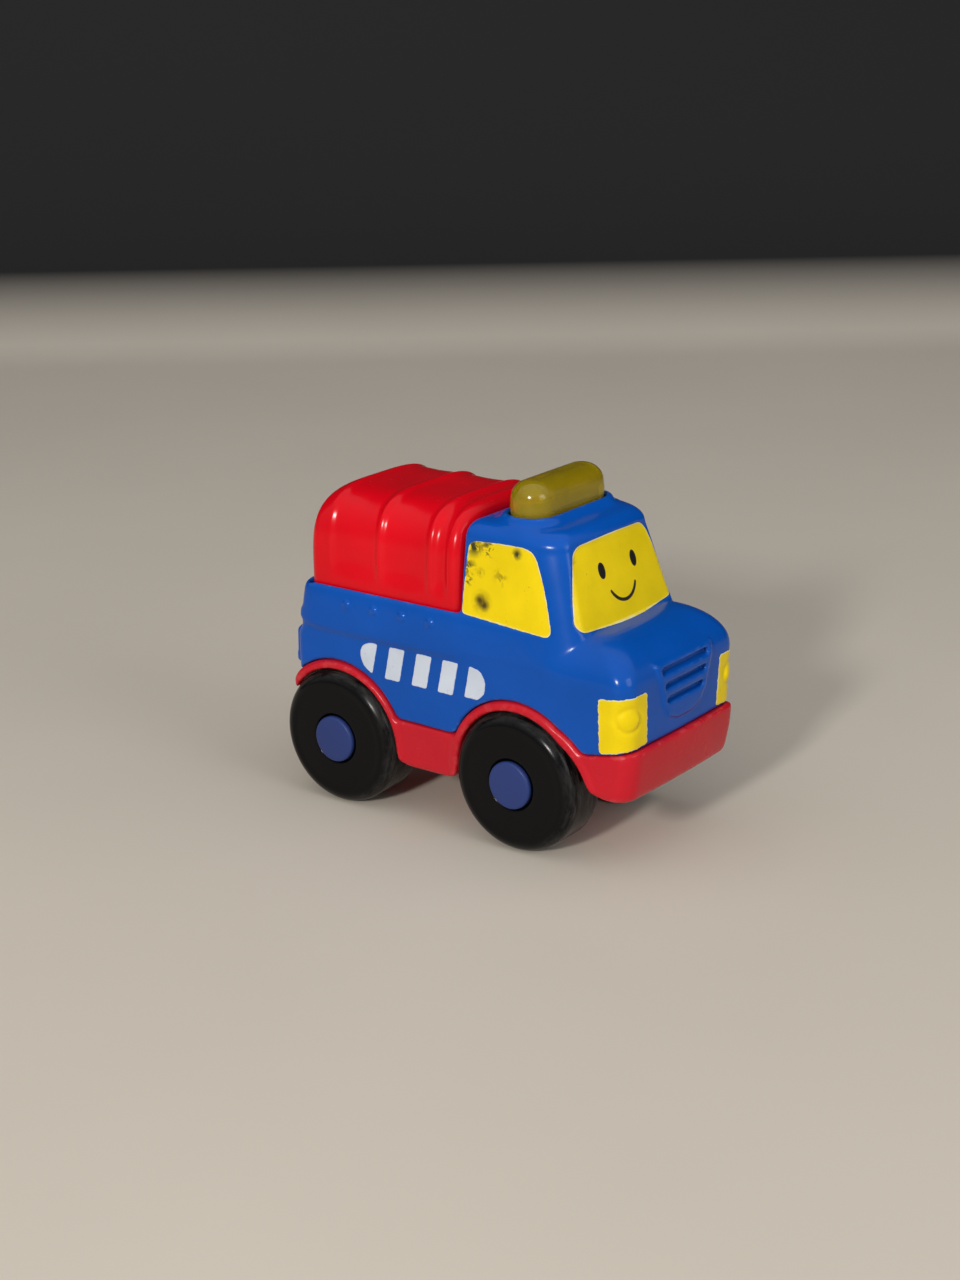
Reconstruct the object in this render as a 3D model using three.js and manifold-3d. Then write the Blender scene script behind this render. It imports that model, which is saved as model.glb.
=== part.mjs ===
// A chunky moulded toy truck: a blue body with a cab, a red ribbed load cover, a red chassis with
// bumpers and wheel arches, four black wheels on steel axles, and an amber beacon on the roof that
// is pressed to light it. Millimetres. +X is forward, +Y is the car's left, +Z is up. The origin
// is on the ground, in the middle of the car's length and width.

import * as THREE from 'three';
import { mergeVertices, toCreasedNormals } from 'three/addons/utils/BufferGeometryUtils.js';
import Module from 'manifold-3d';

const wasm = await Module();
wasm.setup();

// Clearances
const SEAT_GAP = 0.3; // between pieces that seat on each other
const AXLE_GAP = 0.1; // round an axle, in its bearings and in its wheels
const TYRE_GAP = 0.5; // between a tyre and its arch
const SIDE_PLAY = 0.5; // between a wheel's hub and the bearing beside it

// Wheels, axles and hub caps
const WHEEL_RADIUS = 17;
const WHEEL_WIDTH = 13;
const WHEEL_SHOULDER = 4.8;
const WHEEL_WALL = 2.6;
const WHEEL_HUB_RADIUS = 4.2;
const WHEELBASE = 53.4;
const WHEEL_PROUD = 1.6; // how far a wheel stands out from the side of the body
const AXLE_RADIUS = 1.5;
const AXLE_COVER = 1.2; // thickness of wheel left between the axle's end and the cap's seat
const CAP_RADIUS = 5.9;
const CAP_THICKNESS = 1.8;
const CAP_CROWN = 0.5;
const CAP_SEAT_DEPTH = 1.3;

// Heights from the ground
const FLOOR_HEIGHT = 13.2;
const BUMPER_BOTTOM = 18;
const SILL_TOP = 25.6;
const BUMPER_TOP = 30.3; // at the blue front
const BUMPER_SLOPE = 0.15; // fall of the bumper's top towards the arch, per millimetre
const WAIST_HEIGHT = 44.6;
const RAIL_BOTTOM = 46.4;
const BED_FLOOR = 48;
const BONNET_TOP = 54.8;
const RAIL_TOP = 55.6;
const ROOF_TOP = 77;
const CANOPY_RISE = 1.6; // of the load cover over the roof
const BEACON_RISE = 10; // of the beacon over the roof

// Lengths along the car
const FRONT_OVERHANG = 32.6; // front axle to the face of the bumper
const REAR_OVERHANG = 13.9; // rear axle to the back of the body
const BUMPER_DEPTH = 0.9; // how far the bumper stands out from the blue front
const BONNET_LENGTH = 14.6;
const CAB_LENGTH = 33.7;
const SCREEN_RAKE = 5.6; // how far the windscreen leans back
const RAMP_LENGTH = 8; // from the flat floor up to the bumpers

// Widths and roundings
const WALL = 2;
const BODY_WIDTH = 46.8; // at the waist
const WAIST_STEP = 0.2; // how far the upper body stands out over the lower
const WAIST_STEP_HEIGHT = 1.2;
const SIDE_DRAFT = 0.035; // lean of the sides below the waist, per millimetre
const BACK_RAKE = 0.08; // lean of the back wall above the sill, per millimetre
const RAIL_WALL = 1.4;
const SHOULDER_INSET = 1.2; // roll of the sides from the waist in to the windows
const FRONT_CORNER = 5.4;
const REAR_CORNER = 4;
const FRONT_BULGE = 0.8;
const CHASSIS_PROUD = 0.3; // how far the red band stands out from the blue waist
const CHASSIS_EDGE = 1.6;
const BUMPER_CORNER = 5.8;
const ARCH_BAND = 2.9;
const ARCH_BLEND = 2.4;
const ARCH_FLARE = 2.5; // how far an arch runs on ahead of its wheel
const ARCH_FLARE_DROP = 2;
const CAB_SET_IN = 1.2; // of the cab's foot from the side of the body
const CAB_LEAN = 2.5; // of a side of the cab, from its foot to the roof's edge
const CAB_CORNER = 5.6;
const CAB_REAR_CORNER = 2.6;
const SCREEN_BULGE = 2;
const ROOF_EDGE_HEIGHT = 4.4;
const ROOF_EDGE_RUN = 5.6;

// Relief moulded into the body
const RELIEF = 0.5; // depth of the window panes and of the grille
const RAIL_PROUD = 0.3;
const RAIL_FADE = 14; // length over which a rail sinks into the side of the cab
const RIVET_COUNT = 4;
const RIVET_PITCH = 8.3;
const RIVET_RADIUS = 0.9;
const RIVET_PROUD = 0.4;
const FIRST_RIVET_SETBACK = 15; // from the back of the rail
const TAILGATE_WIDTH = 40;
const TAILGATE_TOP = 43;
const TAILGATE_BOTTOM = 33.4;
const GRILLE_WIDTH = 24;
const GRILLE_TOP = 48.4;
const GRILLE_BOTTOM = 33.8;
const GRILLE_TAPER = 3.4;
const SLOT_COUNT = 3;
const SLOT_HEIGHT = 1.5;
const SLOT_PITCH = 3.5;
const SLOT_MARGIN = 2.2; // from the side of the grille to the end of a slot
const LAMP_RADIUS = 3.6;
const LAMP_BEAD = 0.6;
const LAMP_HEIGHT = 37.6;
const LAMP_ANGLE = 30; // degrees round the front corner, from straight ahead
const PANE_BOTTOM = 55.2;
const PANE_CORNER = 1.8;
const SIDE_PANE_REAR = 1.6; // from the cab's back corner to the pane
const SIDE_PANE_FOOT = 24.6;
const SIDE_PANE_HEAD = 18;
const SCREEN_FOOT_PILLAR = 3.2; // width of the cab beside the windscreen
const SCREEN_HEAD_PILLAR = 5.7;

// Load cover
const CANOPY_SET_IN = 2; // from the side of the body
const CANOPY_SHOULDER = 7;
const CANOPY_END_ROUND = 3.8;
const CANOPY_SAG = 1.1; // of the cover between its hoops
const CANOPY_SIDE_LEAN = 1.4;
const HOOP_SETBACK = 7; // from the cover's back end to its first hoop
const HOOP_PITCH = 15;
const HOOP_COUNT = 3;
const CANOPY_POST_RADIUS = 3;

// Beacon and the lamp unit under it
const BEACON_SETBACK = 20.7; // from the foot of the windscreen back to the beacon's middle
const BEACON_WIDTH = 11;
const BEACON_LENGTH = 30;
const BEACON_ROUND = 4;
const BEACON_WALL = 1.6;
const BEACON_LIP = 1.2; // the ledge that keeps the beacon in the roof
const BEACON_LIP_THICKNESS = 1.4;
const BEACON_STEM_RADIUS = 1.7;
const BEACON_TRAVEL = 1.5;
const COLLAR_WIDTH = 1.6;
const COLLAR_PROUD = 0.7;
const BOARD_DROP = 17; // from the roof to the underside of the board
const BOARD_THICKNESS = 1.6;
const BOARD_LENGTH = 17;
const BOARD_WIDTH = 24;
const BOARD_POST_RADIUS = 3.2;
const BOARD_POST_SPACING = 18;
const SWITCH_SIZE = 7;
const SWITCH_HEIGHT = 4.5;
const SWITCH_FLOOR = 1.2;
const PLUNGER_RADIUS = 1.4;
const PLUNGER_LENGTH = 4;
const LED_RADIUS = 2.5;
const LED_RIM = 0.4;
const LED_HEIGHT = 8.6;
const LED_OFFSET = 7.6; // from the beacon's middle along its length
const CELL_RADIUS = 5.8;
const CELL_HEIGHT = 5.4;
const CELL_COUNT = 2;
const CELL_STEP = 1;
const CLIP_THICKNESS = 0.8;
const CLIP_WIDTH = 6;

// Screws
const SCREW_RADIUS = 1.1;
const SCREW_HEAD_RADIUS = 2.5;
const SCREW_HEAD_HEIGHT = 1.8;
const SCREW_LENGTH = 12;
const SCREW_POST_RADIUS = 3.1;
const CHASSIS_POST_RADIUS = 3.6;
const SCREW_RECESS = 1.2; // how deep a head lies under the chassis
const FRONT_SCREW_SETBACK = 8; // behind the blue front
const FRONT_SCREW_SPACING = 22;
const REAR_SCREW_SETBACK = 6; // ahead of the back of the body
const REAR_SCREW_SPACING = 9;

// Facets
const CORNER_STEPS = 4;
const ROUND_STEPS = 4;
const FRONT_STEPS = 4;
const ARCH_STEPS = 20;
const CANOPY_STEPS = 26;
const WHEEL_SIDES = 28;
const WELL_SIDES = 32;
const BEARING_SIDES = 16;
const POST_SIDES = 10;
const SCREW_SIDES = 8;
const RIVET_SIDES = 6;
const BEAD_SIDES = 4;
const BEAD_STEPS = 16;
const CAP_SIDES = 20;
const CREASE_ANGLE = 35; // degrees, above which an edge is drawn sharp

// Places worked out from the sizes above
const length = WHEEL_RADIUS + WHEELBASE + FRONT_OVERHANG;
const rearAxleX = WHEEL_RADIUS - length / 2;
const frontAxleX = rearAxleX + WHEELBASE;
const bumperX = length / 2;
const frontX = bumperX - BUMPER_DEPTH;
const backX = rearAxleX - REAR_OVERHANG;
const screenFootX = frontX - BONNET_LENGTH;
const cabBackX = screenFootX - CAB_LENGTH;
const beaconX = screenFootX - BEACON_SETBACK;
const track = BODY_WIDTH + 2 * WHEEL_PROUD; // over the outer faces of a pair of wheels
const cabFootHalf = BODY_WIDTH / 2 - CAB_SET_IN;
const cabTopHalf = cabFootHalf - CAB_LEAN;
const canopyHalf = BODY_WIDTH / 2 - CANOPY_SET_IN;
const archRadius = WHEEL_RADIUS + TYRE_GAP;
const frontRampX = frontAxleX + archRadius - RAMP_LENGTH / 2;
const rearRampX = backX + RAMP_LENGTH / 2;
const wheelInnerY = track / 2 - WHEEL_WIDTH;
const bandRadius = archRadius + ARCH_BAND;
const wellY = wheelInnerY - 2 * SIDE_PLAY;
const capSeatY = track / 2 - CAP_SEAT_DEPTH;
const railBackX = backX + BACK_RAKE * (RAIL_TOP - SILL_TOP);
const bedBackX = railBackX + RAIL_WALL;
const bedFrontX = cabBackX - SEAT_GAP;
const canopyTop = ROOF_TOP + CANOPY_RISE;
const beaconTop = ROOF_TOP + BEACON_RISE;
const roofEdge = ROOF_TOP - ROOF_EDGE_HEIGHT; // also the top of the windows
const boardUnderside = ROOF_TOP - BOARD_DROP;
const boardTop = boardUnderside + BOARD_THICKNESS;
const boardRearX = cabBackX + WALL + SEAT_GAP;
const switchTop = boardTop + SEAT_GAP + SWITCH_HEIGHT;
const plungerFoot = boardTop + SEAT_GAP + SWITCH_FLOOR + BEACON_TRAVEL + SEAT_GAP;
const stemFoot = plungerFoot + PLUNGER_LENGTH + SEAT_GAP;
const roofUnderside = ROOF_TOP - WALL;
const lipTop = roofUnderside - SEAT_GAP;
const lipReach = lipTop - BEACON_LIP_THICKNESS - BEACON_TRAVEL - SEAT_GAP; // lowest place of the ledge
const far = length + BODY_WIDTH; // a reach longer than any piece, for cutting tools
const { lerp, clamp, degToRad } = THREE.MathUtils;

// Solids from geometry, and geometry back from solids

function solid(geometry) {
  const bare = geometry.clone();
  bare.deleteAttribute('normal');
  bare.deleteAttribute('uv');
  const merged = mergeVertices(bare);
  const corners = merged.index.array;
  const kept = [];
  for (let i = 0; i < corners.length; i += 3) {
    const [a, b, c] = corners.slice(i, i + 3);
    if (a !== b && b !== c && c !== a) kept.push(a, b, c);
  }
  const vertProperties = new Float32Array(merged.attributes.position.array);
  const triVerts = new Uint32Array(kept);
  return new wasm.Manifold(new wasm.Mesh({ numProp: 3, vertProperties, triVerts }));
}

function surface(body) {
  const mesh = body.getMesh();
  const geometry = new THREE.BufferGeometry();
  geometry.setAttribute('position', new THREE.BufferAttribute(mesh.vertProperties, 3));
  geometry.setIndex(new THREE.BufferAttribute(mesh.triVerts, 1));
  return toCreasedNormals(geometry, degToRad(CREASE_ANGLE));
}

function union(...bodies) {
  return bodies.reduce((whole, body) => whole.add(body));
}

// Shapes that the pieces share

function block(xs, ys, zs) {
  const box = new THREE.BoxGeometry(xs[1] - xs[0], ys[1] - ys[0], zs[1] - zs[0]);
  box.translate((xs[0] + xs[1]) / 2, (ys[0] + ys[1]) / 2, (zs[0] + zs[1]) / 2);
  return solid(box);
}

function uprightRod(radius, x, y, low, high, sides = POST_SIDES) {
  const rod = new THREE.CylinderGeometry(radius, radius, high - low, sides);
  rod.rotateX(Math.PI / 2);
  rod.translate(x, y, (low + high) / 2);
  return solid(rod);
}

function crossRod(radius, x, z, low, high, sides) {
  const rod = new THREE.CylinderGeometry(radius, radius, high - low, sides);
  rod.translate(x, (low + high) / 2, z);
  return solid(rod);
}

// A flat shape drawn in length and height, drawn out across the car between two widths.
function acrossPrism(shape, low, high) {
  const prism = new THREE.ExtrudeGeometry(shape, { depth: high - low, bevelEnabled: false });
  prism.rotateX(Math.PI / 2);
  prism.translate(0, high, 0);
  return solid(prism);
}

// A flat shape drawn in width and height, drawn out along the car between two lengths.
function alongPrism(shape, low, high) {
  const prism = new THREE.ExtrudeGeometry(shape, { depth: high - low, bevelEnabled: false });
  const turn = new THREE.Matrix4().makeBasis(
    new THREE.Vector3(0, 1, 0),
    new THREE.Vector3(0, 0, 1),
    new THREE.Vector3(1, 0, 0),
  );
  prism.applyMatrix4(turn);
  prism.translate(low, 0, 0);
  return solid(prism);
}

// A closed skin over rings of points that all have the same count, turning anticlockwise about
// the direction in which the rings follow each other.
function loft(rings) {
  const count = rings[0].length;
  const points = rings.flat();
  const middle = (ring) => ring.reduce((sum, p) => sum.add(p), new THREE.Vector3()).divideScalar(count);
  const first = points.push(middle(rings[0])) - 1;
  const last = points.push(middle(rings[rings.length - 1])) - 1;
  const top = (rings.length - 1) * count;
  const triangles = [];
  for (let j = 0; j < count; j += 1) {
    const next = (j + 1) % count;
    triangles.push(first, next, j, last, top + j, top + next);
    for (let i = 0; i < top; i += count) {
      triangles.push(i + j, i + next, i + count + next, i + j, i + count + next, i + count + j);
    }
  }
  const geometry = new THREE.BufferGeometry().setFromPoints(points);
  geometry.setIndex(triangles);
  return solid(geometry);
}

function arc(cx, cy, radius, from, to, steps) {
  const points = [];
  for (let i = 0; i <= steps; i += 1) {
    const angle = degToRad(lerp(from, to, i / steps));
    points.push(new THREE.Vector2(cx + radius * Math.cos(angle), cy + radius * Math.sin(angle)));
  }
  return points;
}

// Plan of the body at one height: straight sides, round corners and a front that bulges forward.
function planRing(height, { rear, front, half, rearRadius, frontRadius, bulge }) {
  const noseX = front - bulge - frontRadius;
  const noseY = half - frontRadius;
  const tailX = rear + rearRadius;
  const tailY = half - rearRadius;
  const nose = [];
  for (let i = 1; i < FRONT_STEPS; i += 1) {
    const side = (2 * i) / FRONT_STEPS - 1;
    nose.push(new THREE.Vector2(front - bulge * side * side, side * noseY));
  }
  const outline = [
    ...arc(tailX, -tailY, rearRadius, 180, 270, CORNER_STEPS),
    ...arc(noseX, -noseY, frontRadius, 270, 360, CORNER_STEPS),
    ...nose,
    ...arc(noseX, noseY, frontRadius, 0, 90, CORNER_STEPS),
    ...arc(tailX, tailY, rearRadius, 90, 180, CORNER_STEPS),
  ];
  return outline.map((p) => new THREE.Vector3(p.x, p.y, height));
}

// A straight-sided outline whose corners are cut by short curves of one radius.
function roundedOutline(corners, radius) {
  const shape = new THREE.Shape();
  corners.forEach(([x, y], i) => {
    const corner = new THREE.Vector2(x, y);
    const before = new THREE.Vector2(...corners.at(i - 1)).sub(corner).setLength(radius).add(corner);
    const after = new THREE.Vector2(...corners[(i + 1) % corners.length]);
    after.sub(corner).setLength(radius).add(corner);
    if (i === 0) shape.moveTo(before.x, before.y);
    else shape.lineTo(before.x, before.y);
    shape.quadraticCurveTo(x, y, after.x, after.y);
  });
  shape.closePath();
  return new THREE.Shape(shape.getPoints(ROUND_STEPS));
}

// The larger of two heights, with the corner between them filled by a soft blend.
function softMax(a, b, blend) {
  const overlap = Math.max(blend - Math.abs(a - b), 0);
  return Math.max(a, b) + (overlap * overlap) / (4 * blend);
}

// The line between the red chassis and the blue body, as a height at each place along the car.
function partingHeight(x) {
  const circle = (middleX, middleZ) => {
    const reach = bandRadius ** 2 - (x - middleX) ** 2;
    return reach > 0 ? middleZ + Math.sqrt(reach) : 0;
  };
  const arch = (axleX) =>
    Math.max(circle(axleX, WHEEL_RADIUS), circle(axleX + ARCH_FLARE, WHEEL_RADIUS - ARCH_FLARE_DROP));
  const ends = x > frontAxleX ? BUMPER_TOP - BUMPER_SLOPE * (frontX - x) : SILL_TOP;
  return softMax(Math.max(arch(rearAxleX), arch(frontAxleX)), ends, ARCH_BLEND);
}

function floorHeight(x) {
  const front = (x - frontRampX) / RAMP_LENGTH;
  const rear = (rearRampX - x) / (RAMP_LENGTH / 2);
  return lerp(FLOOR_HEIGHT, BUMPER_BOTTOM, clamp(Math.max(front, rear), 0, 1));
}

// Places along the car where the parting line needs a point: close together where it is steep.
function archStations() {
  const reach = bandRadius + ARCH_BLEND;
  const stations = [];
  for (const axleX of [rearAxleX, frontAxleX]) {
    for (let i = 0; i <= ARCH_STEPS; i += 1) {
      stations.push(axleX - reach * Math.cos((Math.PI * i) / ARCH_STEPS));
    }
  }
  return stations.sort((a, b) => a - b);
}

// Everything between a level and a line along the car, right across the car.
function sideRegion(edge, stations, offset, level) {
  const ends = [Math.min(stations[0], backX) - WHEEL_RADIUS, bumperX + WHEEL_RADIUS];
  const places = [ends[0], ...stations, ends[1]];
  const points = places.map((x) => new THREE.Vector2(x, edge(x) + offset));
  points.push(new THREE.Vector2(ends[1], level), new THREE.Vector2(ends[0], level));
  return acrossPrism(new THREE.Shape(points), -BODY_WIDTH, BODY_WIDTH);
}

function underParting(offset) {
  return sideRegion(partingHeight, archStations(), offset, 0);
}

function overFloor(offset) {
  const bends = [backX, rearRampX, frontRampX, frontRampX + RAMP_LENGTH];
  return sideRegion(floorHeight, bends, offset, far);
}

// Blue body

function lowerBody(inset) {
  const half = BODY_WIDTH / 2 - inset;
  const ring = (height, under, roll, lean) =>
    planRing(height, {
      rear: backX + inset + BACK_RAKE * (height - SILL_TOP) + under,
      front: frontX - inset - under - roll * BONNET_LENGTH,
      half: half - under - lean * SHOULDER_INSET,
      rearRadius: REAR_CORNER - inset,
      frontRadius: FRONT_CORNER - inset,
      bulge: FRONT_BULGE,
    });
  const stepFoot = WAIST_HEIGHT - WAIST_STEP_HEIGHT - inset;
  const drop = WAIST_HEIGHT - FLOOR_HEIGHT;
  const rings = [ring(FLOOR_HEIGHT, WAIST_STEP + drop * SIDE_DRAFT, 0, 0), ring(stepFoot, WAIST_STEP, 0, 0)];
  for (let i = 0; i <= ROUND_STEPS + 1; i += 1) {
    const turn = ((i / (ROUND_STEPS + 1)) * Math.PI) / 2;
    const rise = Math.sin(turn);
    const height = lerp(WAIST_HEIGHT, BONNET_TOP, rise) - inset;
    rings.push(ring(height, 0, 1 - Math.cos(turn), rise * rise));
  }
  return loft(rings);
}

function cab(inset) {
  const ring = (height, lean, roll) =>
    planRing(height, {
      rear: cabBackX + inset + roll / 2,
      front: screenFootX - lean * SCREEN_RAKE - inset - roll,
      half: lerp(cabFootHalf, cabTopHalf, lean) - inset - roll,
      rearRadius: CAB_REAR_CORNER - inset,
      frontRadius: CAB_CORNER - inset,
      bulge: SCREEN_BULGE,
    });
  const footLean = (BED_FLOOR - WALL - BONNET_TOP) / (roofEdge - BONNET_TOP);
  const rings = [ring(BED_FLOOR - WALL, footLean, 0)];
  for (let i = 0; i <= ROUND_STEPS; i += 1) {
    const turn = ((i / ROUND_STEPS) * Math.PI) / 2;
    const height = ROOF_TOP - ROOF_EDGE_HEIGHT * (1 - Math.sin(turn)) - inset;
    rings.push(ring(height, 1, ROOF_EDGE_RUN * (1 - Math.cos(turn))));
  }
  return loft(rings);
}

// The raised band round the load bed, which sinks into the side of the cab at its front end.
function bedRail() {
  const half = BODY_WIDTH / 2 + RAIL_PROUD;
  const back = railBackX - RAIL_PROUD;
  const fadeX = cabBackX + RAIL_FADE / 2;
  const fadeHalf = cabFootHalf - WALL;
  const outline = [
    ...arc(back + REAR_CORNER, -half + REAR_CORNER, REAR_CORNER, 180, 270, CORNER_STEPS),
    new THREE.Vector2(fadeX - RAIL_FADE, -half),
    new THREE.Vector2(fadeX, -fadeHalf),
    new THREE.Vector2(fadeX, fadeHalf),
    new THREE.Vector2(fadeX - RAIL_FADE, half),
    ...arc(back + REAR_CORNER, half - REAR_CORNER, REAR_CORNER, 90, 180, CORNER_STEPS),
  ];
  const depth = RAIL_TOP - RAIL_BOTTOM;
  const band = new THREE.ExtrudeGeometry(new THREE.Shape(outline), { depth, bevelEnabled: false });
  band.translate(0, 0, RAIL_BOTTOM);
  return solid(band);
}

function rivets() {
  const height = (RAIL_BOTTOM + RAIL_TOP) / 2;
  const reach = BODY_WIDTH / 2 + RAIL_PROUD + RIVET_PROUD;
  const bodies = [];
  for (let i = 0; i < RIVET_COUNT; i += 1) {
    const x = railBackX + FIRST_RIVET_SETBACK + i * RIVET_PITCH;
    bodies.push(crossRod(RIVET_RADIUS, x, height, reach - WALL, reach, RIVET_SIDES));
    bodies.push(crossRod(RIVET_RADIUS, x, height, -reach, WALL - reach, RIVET_SIDES));
  }
  return union(...bodies);
}

function tailgatePanel() {
  const half = TAILGATE_WIDTH / 2;
  const corners = [
    [-half, TAILGATE_BOTTOM],
    [half, TAILGATE_BOTTOM],
    [half, TAILGATE_TOP],
    [-half, TAILGATE_TOP],
  ];
  return alongPrism(roundedOutline(corners, PANE_CORNER), backX, backX + 2 * WALL);
}

// A shield with a round foot on the blue front, with slots across it.
function grilleShield() {
  const half = GRILLE_WIDTH / 2;
  const footHalf = half - GRILLE_TAPER;
  const shield = new THREE.Shape();
  shield.moveTo(-half, GRILLE_TOP);
  shield.lineTo(-footHalf, GRILLE_BOTTOM + GRILLE_TAPER);
  shield.quadraticCurveTo(-footHalf, GRILLE_BOTTOM, 0, GRILLE_BOTTOM);
  shield.quadraticCurveTo(footHalf, GRILLE_BOTTOM, footHalf, GRILLE_BOTTOM + GRILLE_TAPER);
  shield.lineTo(half, GRILLE_TOP);
  return new THREE.Shape(shield.getPoints(ROUND_STEPS));
}

function grilleSlots() {
  const bodies = [];
  for (let i = 0; i < SLOT_COUNT; i += 1) {
    const top = GRILLE_TOP - SLOT_PITCH / 2 - i * SLOT_PITCH;
    const taper = (GRILLE_TAPER * (GRILLE_TOP - top)) / (GRILLE_TOP - GRILLE_BOTTOM);
    const half = GRILLE_WIDTH / 2 - SLOT_MARGIN - taper;
    const corners = [
      [-half, top - SLOT_HEIGHT],
      [half, top - SLOT_HEIGHT],
      [half, top],
      [-half, top],
    ];
    bodies.push(alongPrism(roundedOutline(corners, SLOT_HEIGHT / 3), screenFootX, bumperX));
  }
  return union(...bodies);
}

// A round bead on the front corner, where a headlamp is painted.
function lampBead(side) {
  const bead = new THREE.TorusGeometry(LAMP_RADIUS, LAMP_BEAD, BEAD_SIDES, BEAD_STEPS);
  const angle = degToRad(LAMP_ANGLE);
  const reach = FRONT_CORNER - WAIST_STEP - (WAIST_HEIGHT - LAMP_HEIGHT) * SIDE_DRAFT;
  const noseX = frontX - FRONT_BULGE - FRONT_CORNER;
  const noseY = BODY_WIDTH / 2 - FRONT_CORNER;
  bead.rotateY(Math.PI / 2);
  bead.rotateZ(side * angle);
  bead.translate(noseX + reach * Math.cos(angle), side * (noseY + reach * Math.sin(angle)), LAMP_HEIGHT);
  return solid(bead);
}

function windowTools() {
  const rear = cabBackX + SIDE_PANE_REAR;
  const sidePane = roundedOutline(
    [
      [rear, PANE_BOTTOM],
      [rear + SIDE_PANE_FOOT, PANE_BOTTOM],
      [rear + SIDE_PANE_HEAD, roofEdge],
      [rear, roofEdge],
    ],
    PANE_CORNER,
  );
  const screenFoot = cabFootHalf - SCREEN_FOOT_PILLAR;
  const screenHead = cabTopHalf - SCREEN_HEAD_PILLAR;
  const screenPane = roundedOutline(
    [
      [-screenFoot, PANE_BOTTOM],
      [screenFoot, PANE_BOTTOM],
      [screenHead, roofEdge],
      [-screenHead, roofEdge],
    ],
    PANE_CORNER,
  );
  const middleX = (cabBackX + screenFootX) / 2;
  const panes = union(
    acrossPrism(sidePane, -BODY_WIDTH, BODY_WIDTH),
    alongPrism(screenPane, middleX, bumperX),
  );
  return panes.subtract(cab(RELIEF));
}

function beaconOutline(grow) {
  const half = BEACON_WIDTH / 2 + grow;
  const reach = BEACON_LENGTH / 2 + grow - half;
  const steps = 2 * ROUND_STEPS;
  return [...arc(beaconX, reach, half, 0, 180, steps), ...arc(beaconX, -reach, half, 180, 360, steps)];
}

function beaconPrism(grow, low, high) {
  return loft([low, high].map((z) => beaconOutline(grow).map((p) => new THREE.Vector3(p.x, p.y, z))));
}

const chassisScrews = [-1, 1].flatMap((side) => [
  { x: frontX - FRONT_SCREW_SETBACK, y: (side * FRONT_SCREW_SPACING) / 2 },
  { x: backX + REAR_SCREW_SETBACK, y: (side * REAR_SCREW_SPACING) / 2 },
]);
const canopyScrews = [0, HOOP_COUNT - 1].map((i) => ({
  x: bedBackX + SEAT_GAP + HOOP_SETBACK + i * HOOP_PITCH,
  y: 0,
}));
const boardScrews = [-1, 1].map((side) => ({
  x: boardRearX + SCREW_HEAD_RADIUS,
  y: (side * BOARD_POST_SPACING) / 2,
}));
const postFoot = SILL_TOP + SEAT_GAP;

function bodyShell() {
  const outside = union(
    lowerBody(0),
    cab(0),
    bedRail(),
    rivets(),
    tailgatePanel(),
    alongPrism(grilleShield(), screenFootX, frontX + RELIEF).intersect(lowerBody(-RELIEF)),
    lampBead(1),
    lampBead(-1),
    beaconPrism(COLLAR_WIDTH, roofUnderside, ROOF_TOP + COLLAR_PROUD),
  );
  const bedBlock = block([-far, cabBackX + WALL], [-far, far], [BED_FLOOR - WALL, far]);
  const inside = union(lowerBody(WALL).subtract(bedBlock), cab(WALL));
  const bedRound = REAR_CORNER - WALL;
  const bed = loft(
    [BED_FLOOR, far].map((z) =>
      planRing(z, {
        rear: bedBackX,
        front: cabBackX,
        half: canopyHalf + SEAT_GAP,
        rearRadius: bedRound,
        frontRadius: bedRound,
        bulge: 0,
      }),
    ),
  );
  const lipPocket = beaconPrism(BEACON_LIP + SEAT_GAP, lipReach, roofUnderside);
  const posts = union(
    ...chassisScrews.map(({ x, y }) => uprightRod(SCREW_POST_RADIUS, x, y, postFoot, BONNET_TOP)),
    ...boardScrews.map(({ x, y }) => uprightRod(BOARD_POST_RADIUS, x, y, boardTop + SEAT_GAP, lipReach)),
  );
  const skin = outside
    .subtract(inside)
    .subtract(lipPocket)
    .subtract(underParting(SEAT_GAP))
    .subtract(grilleSlots().subtract(lowerBody(RELIEF)))
    .subtract(windowTools());
  const pilots = union(
    ...chassisScrews.map(({ x, y }) => screwHole(x, y, screwHeadHeight(x) + SCREW_HEAD_HEIGHT)),
    ...boardScrews.map(({ x, y }) => screwHole(x, y, boardUnderside)),
    ...canopyScrews.map(({ x, y }) => screwHole(x, y, BED_FLOOR - WALL)),
  );
  return skin
    .add(posts.intersect(union(lowerBody(WALL / 2), cab(WALL / 2))))
    .subtract(bed)
    .subtract(beaconPrism(SEAT_GAP, boardUnderside, far))
    .subtract(pilots);
}

// Red load cover: hoops under a stretched skin, hollow, with posts for its screws

function coverInset(x, back, front) {
  const fromEnd = Math.min(x - back, front - x);
  const round = CANOPY_END_ROUND;
  const rounding = fromEnd < round ? round - Math.sqrt(round ** 2 - (round - fromEnd) ** 2) : 0;
  const hoops = [back];
  for (let i = 0; i < HOOP_COUNT; i += 1) hoops.push(back + HOOP_SETBACK + i * HOOP_PITCH);
  hoops.push(front);
  const next = clamp(hoops.findIndex((hoop) => hoop > x), 1, hoops.length - 1);
  const span = hoops[next] - hoops[next - 1];
  const sag = Math.sin((Math.PI * (x - hoops[next - 1])) / span) ** 2;
  const slack = next === 1 ? 0 : Math.min(span / HOOP_PITCH, 1);
  return rounding + CANOPY_SAG * slack * sag;
}

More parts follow.
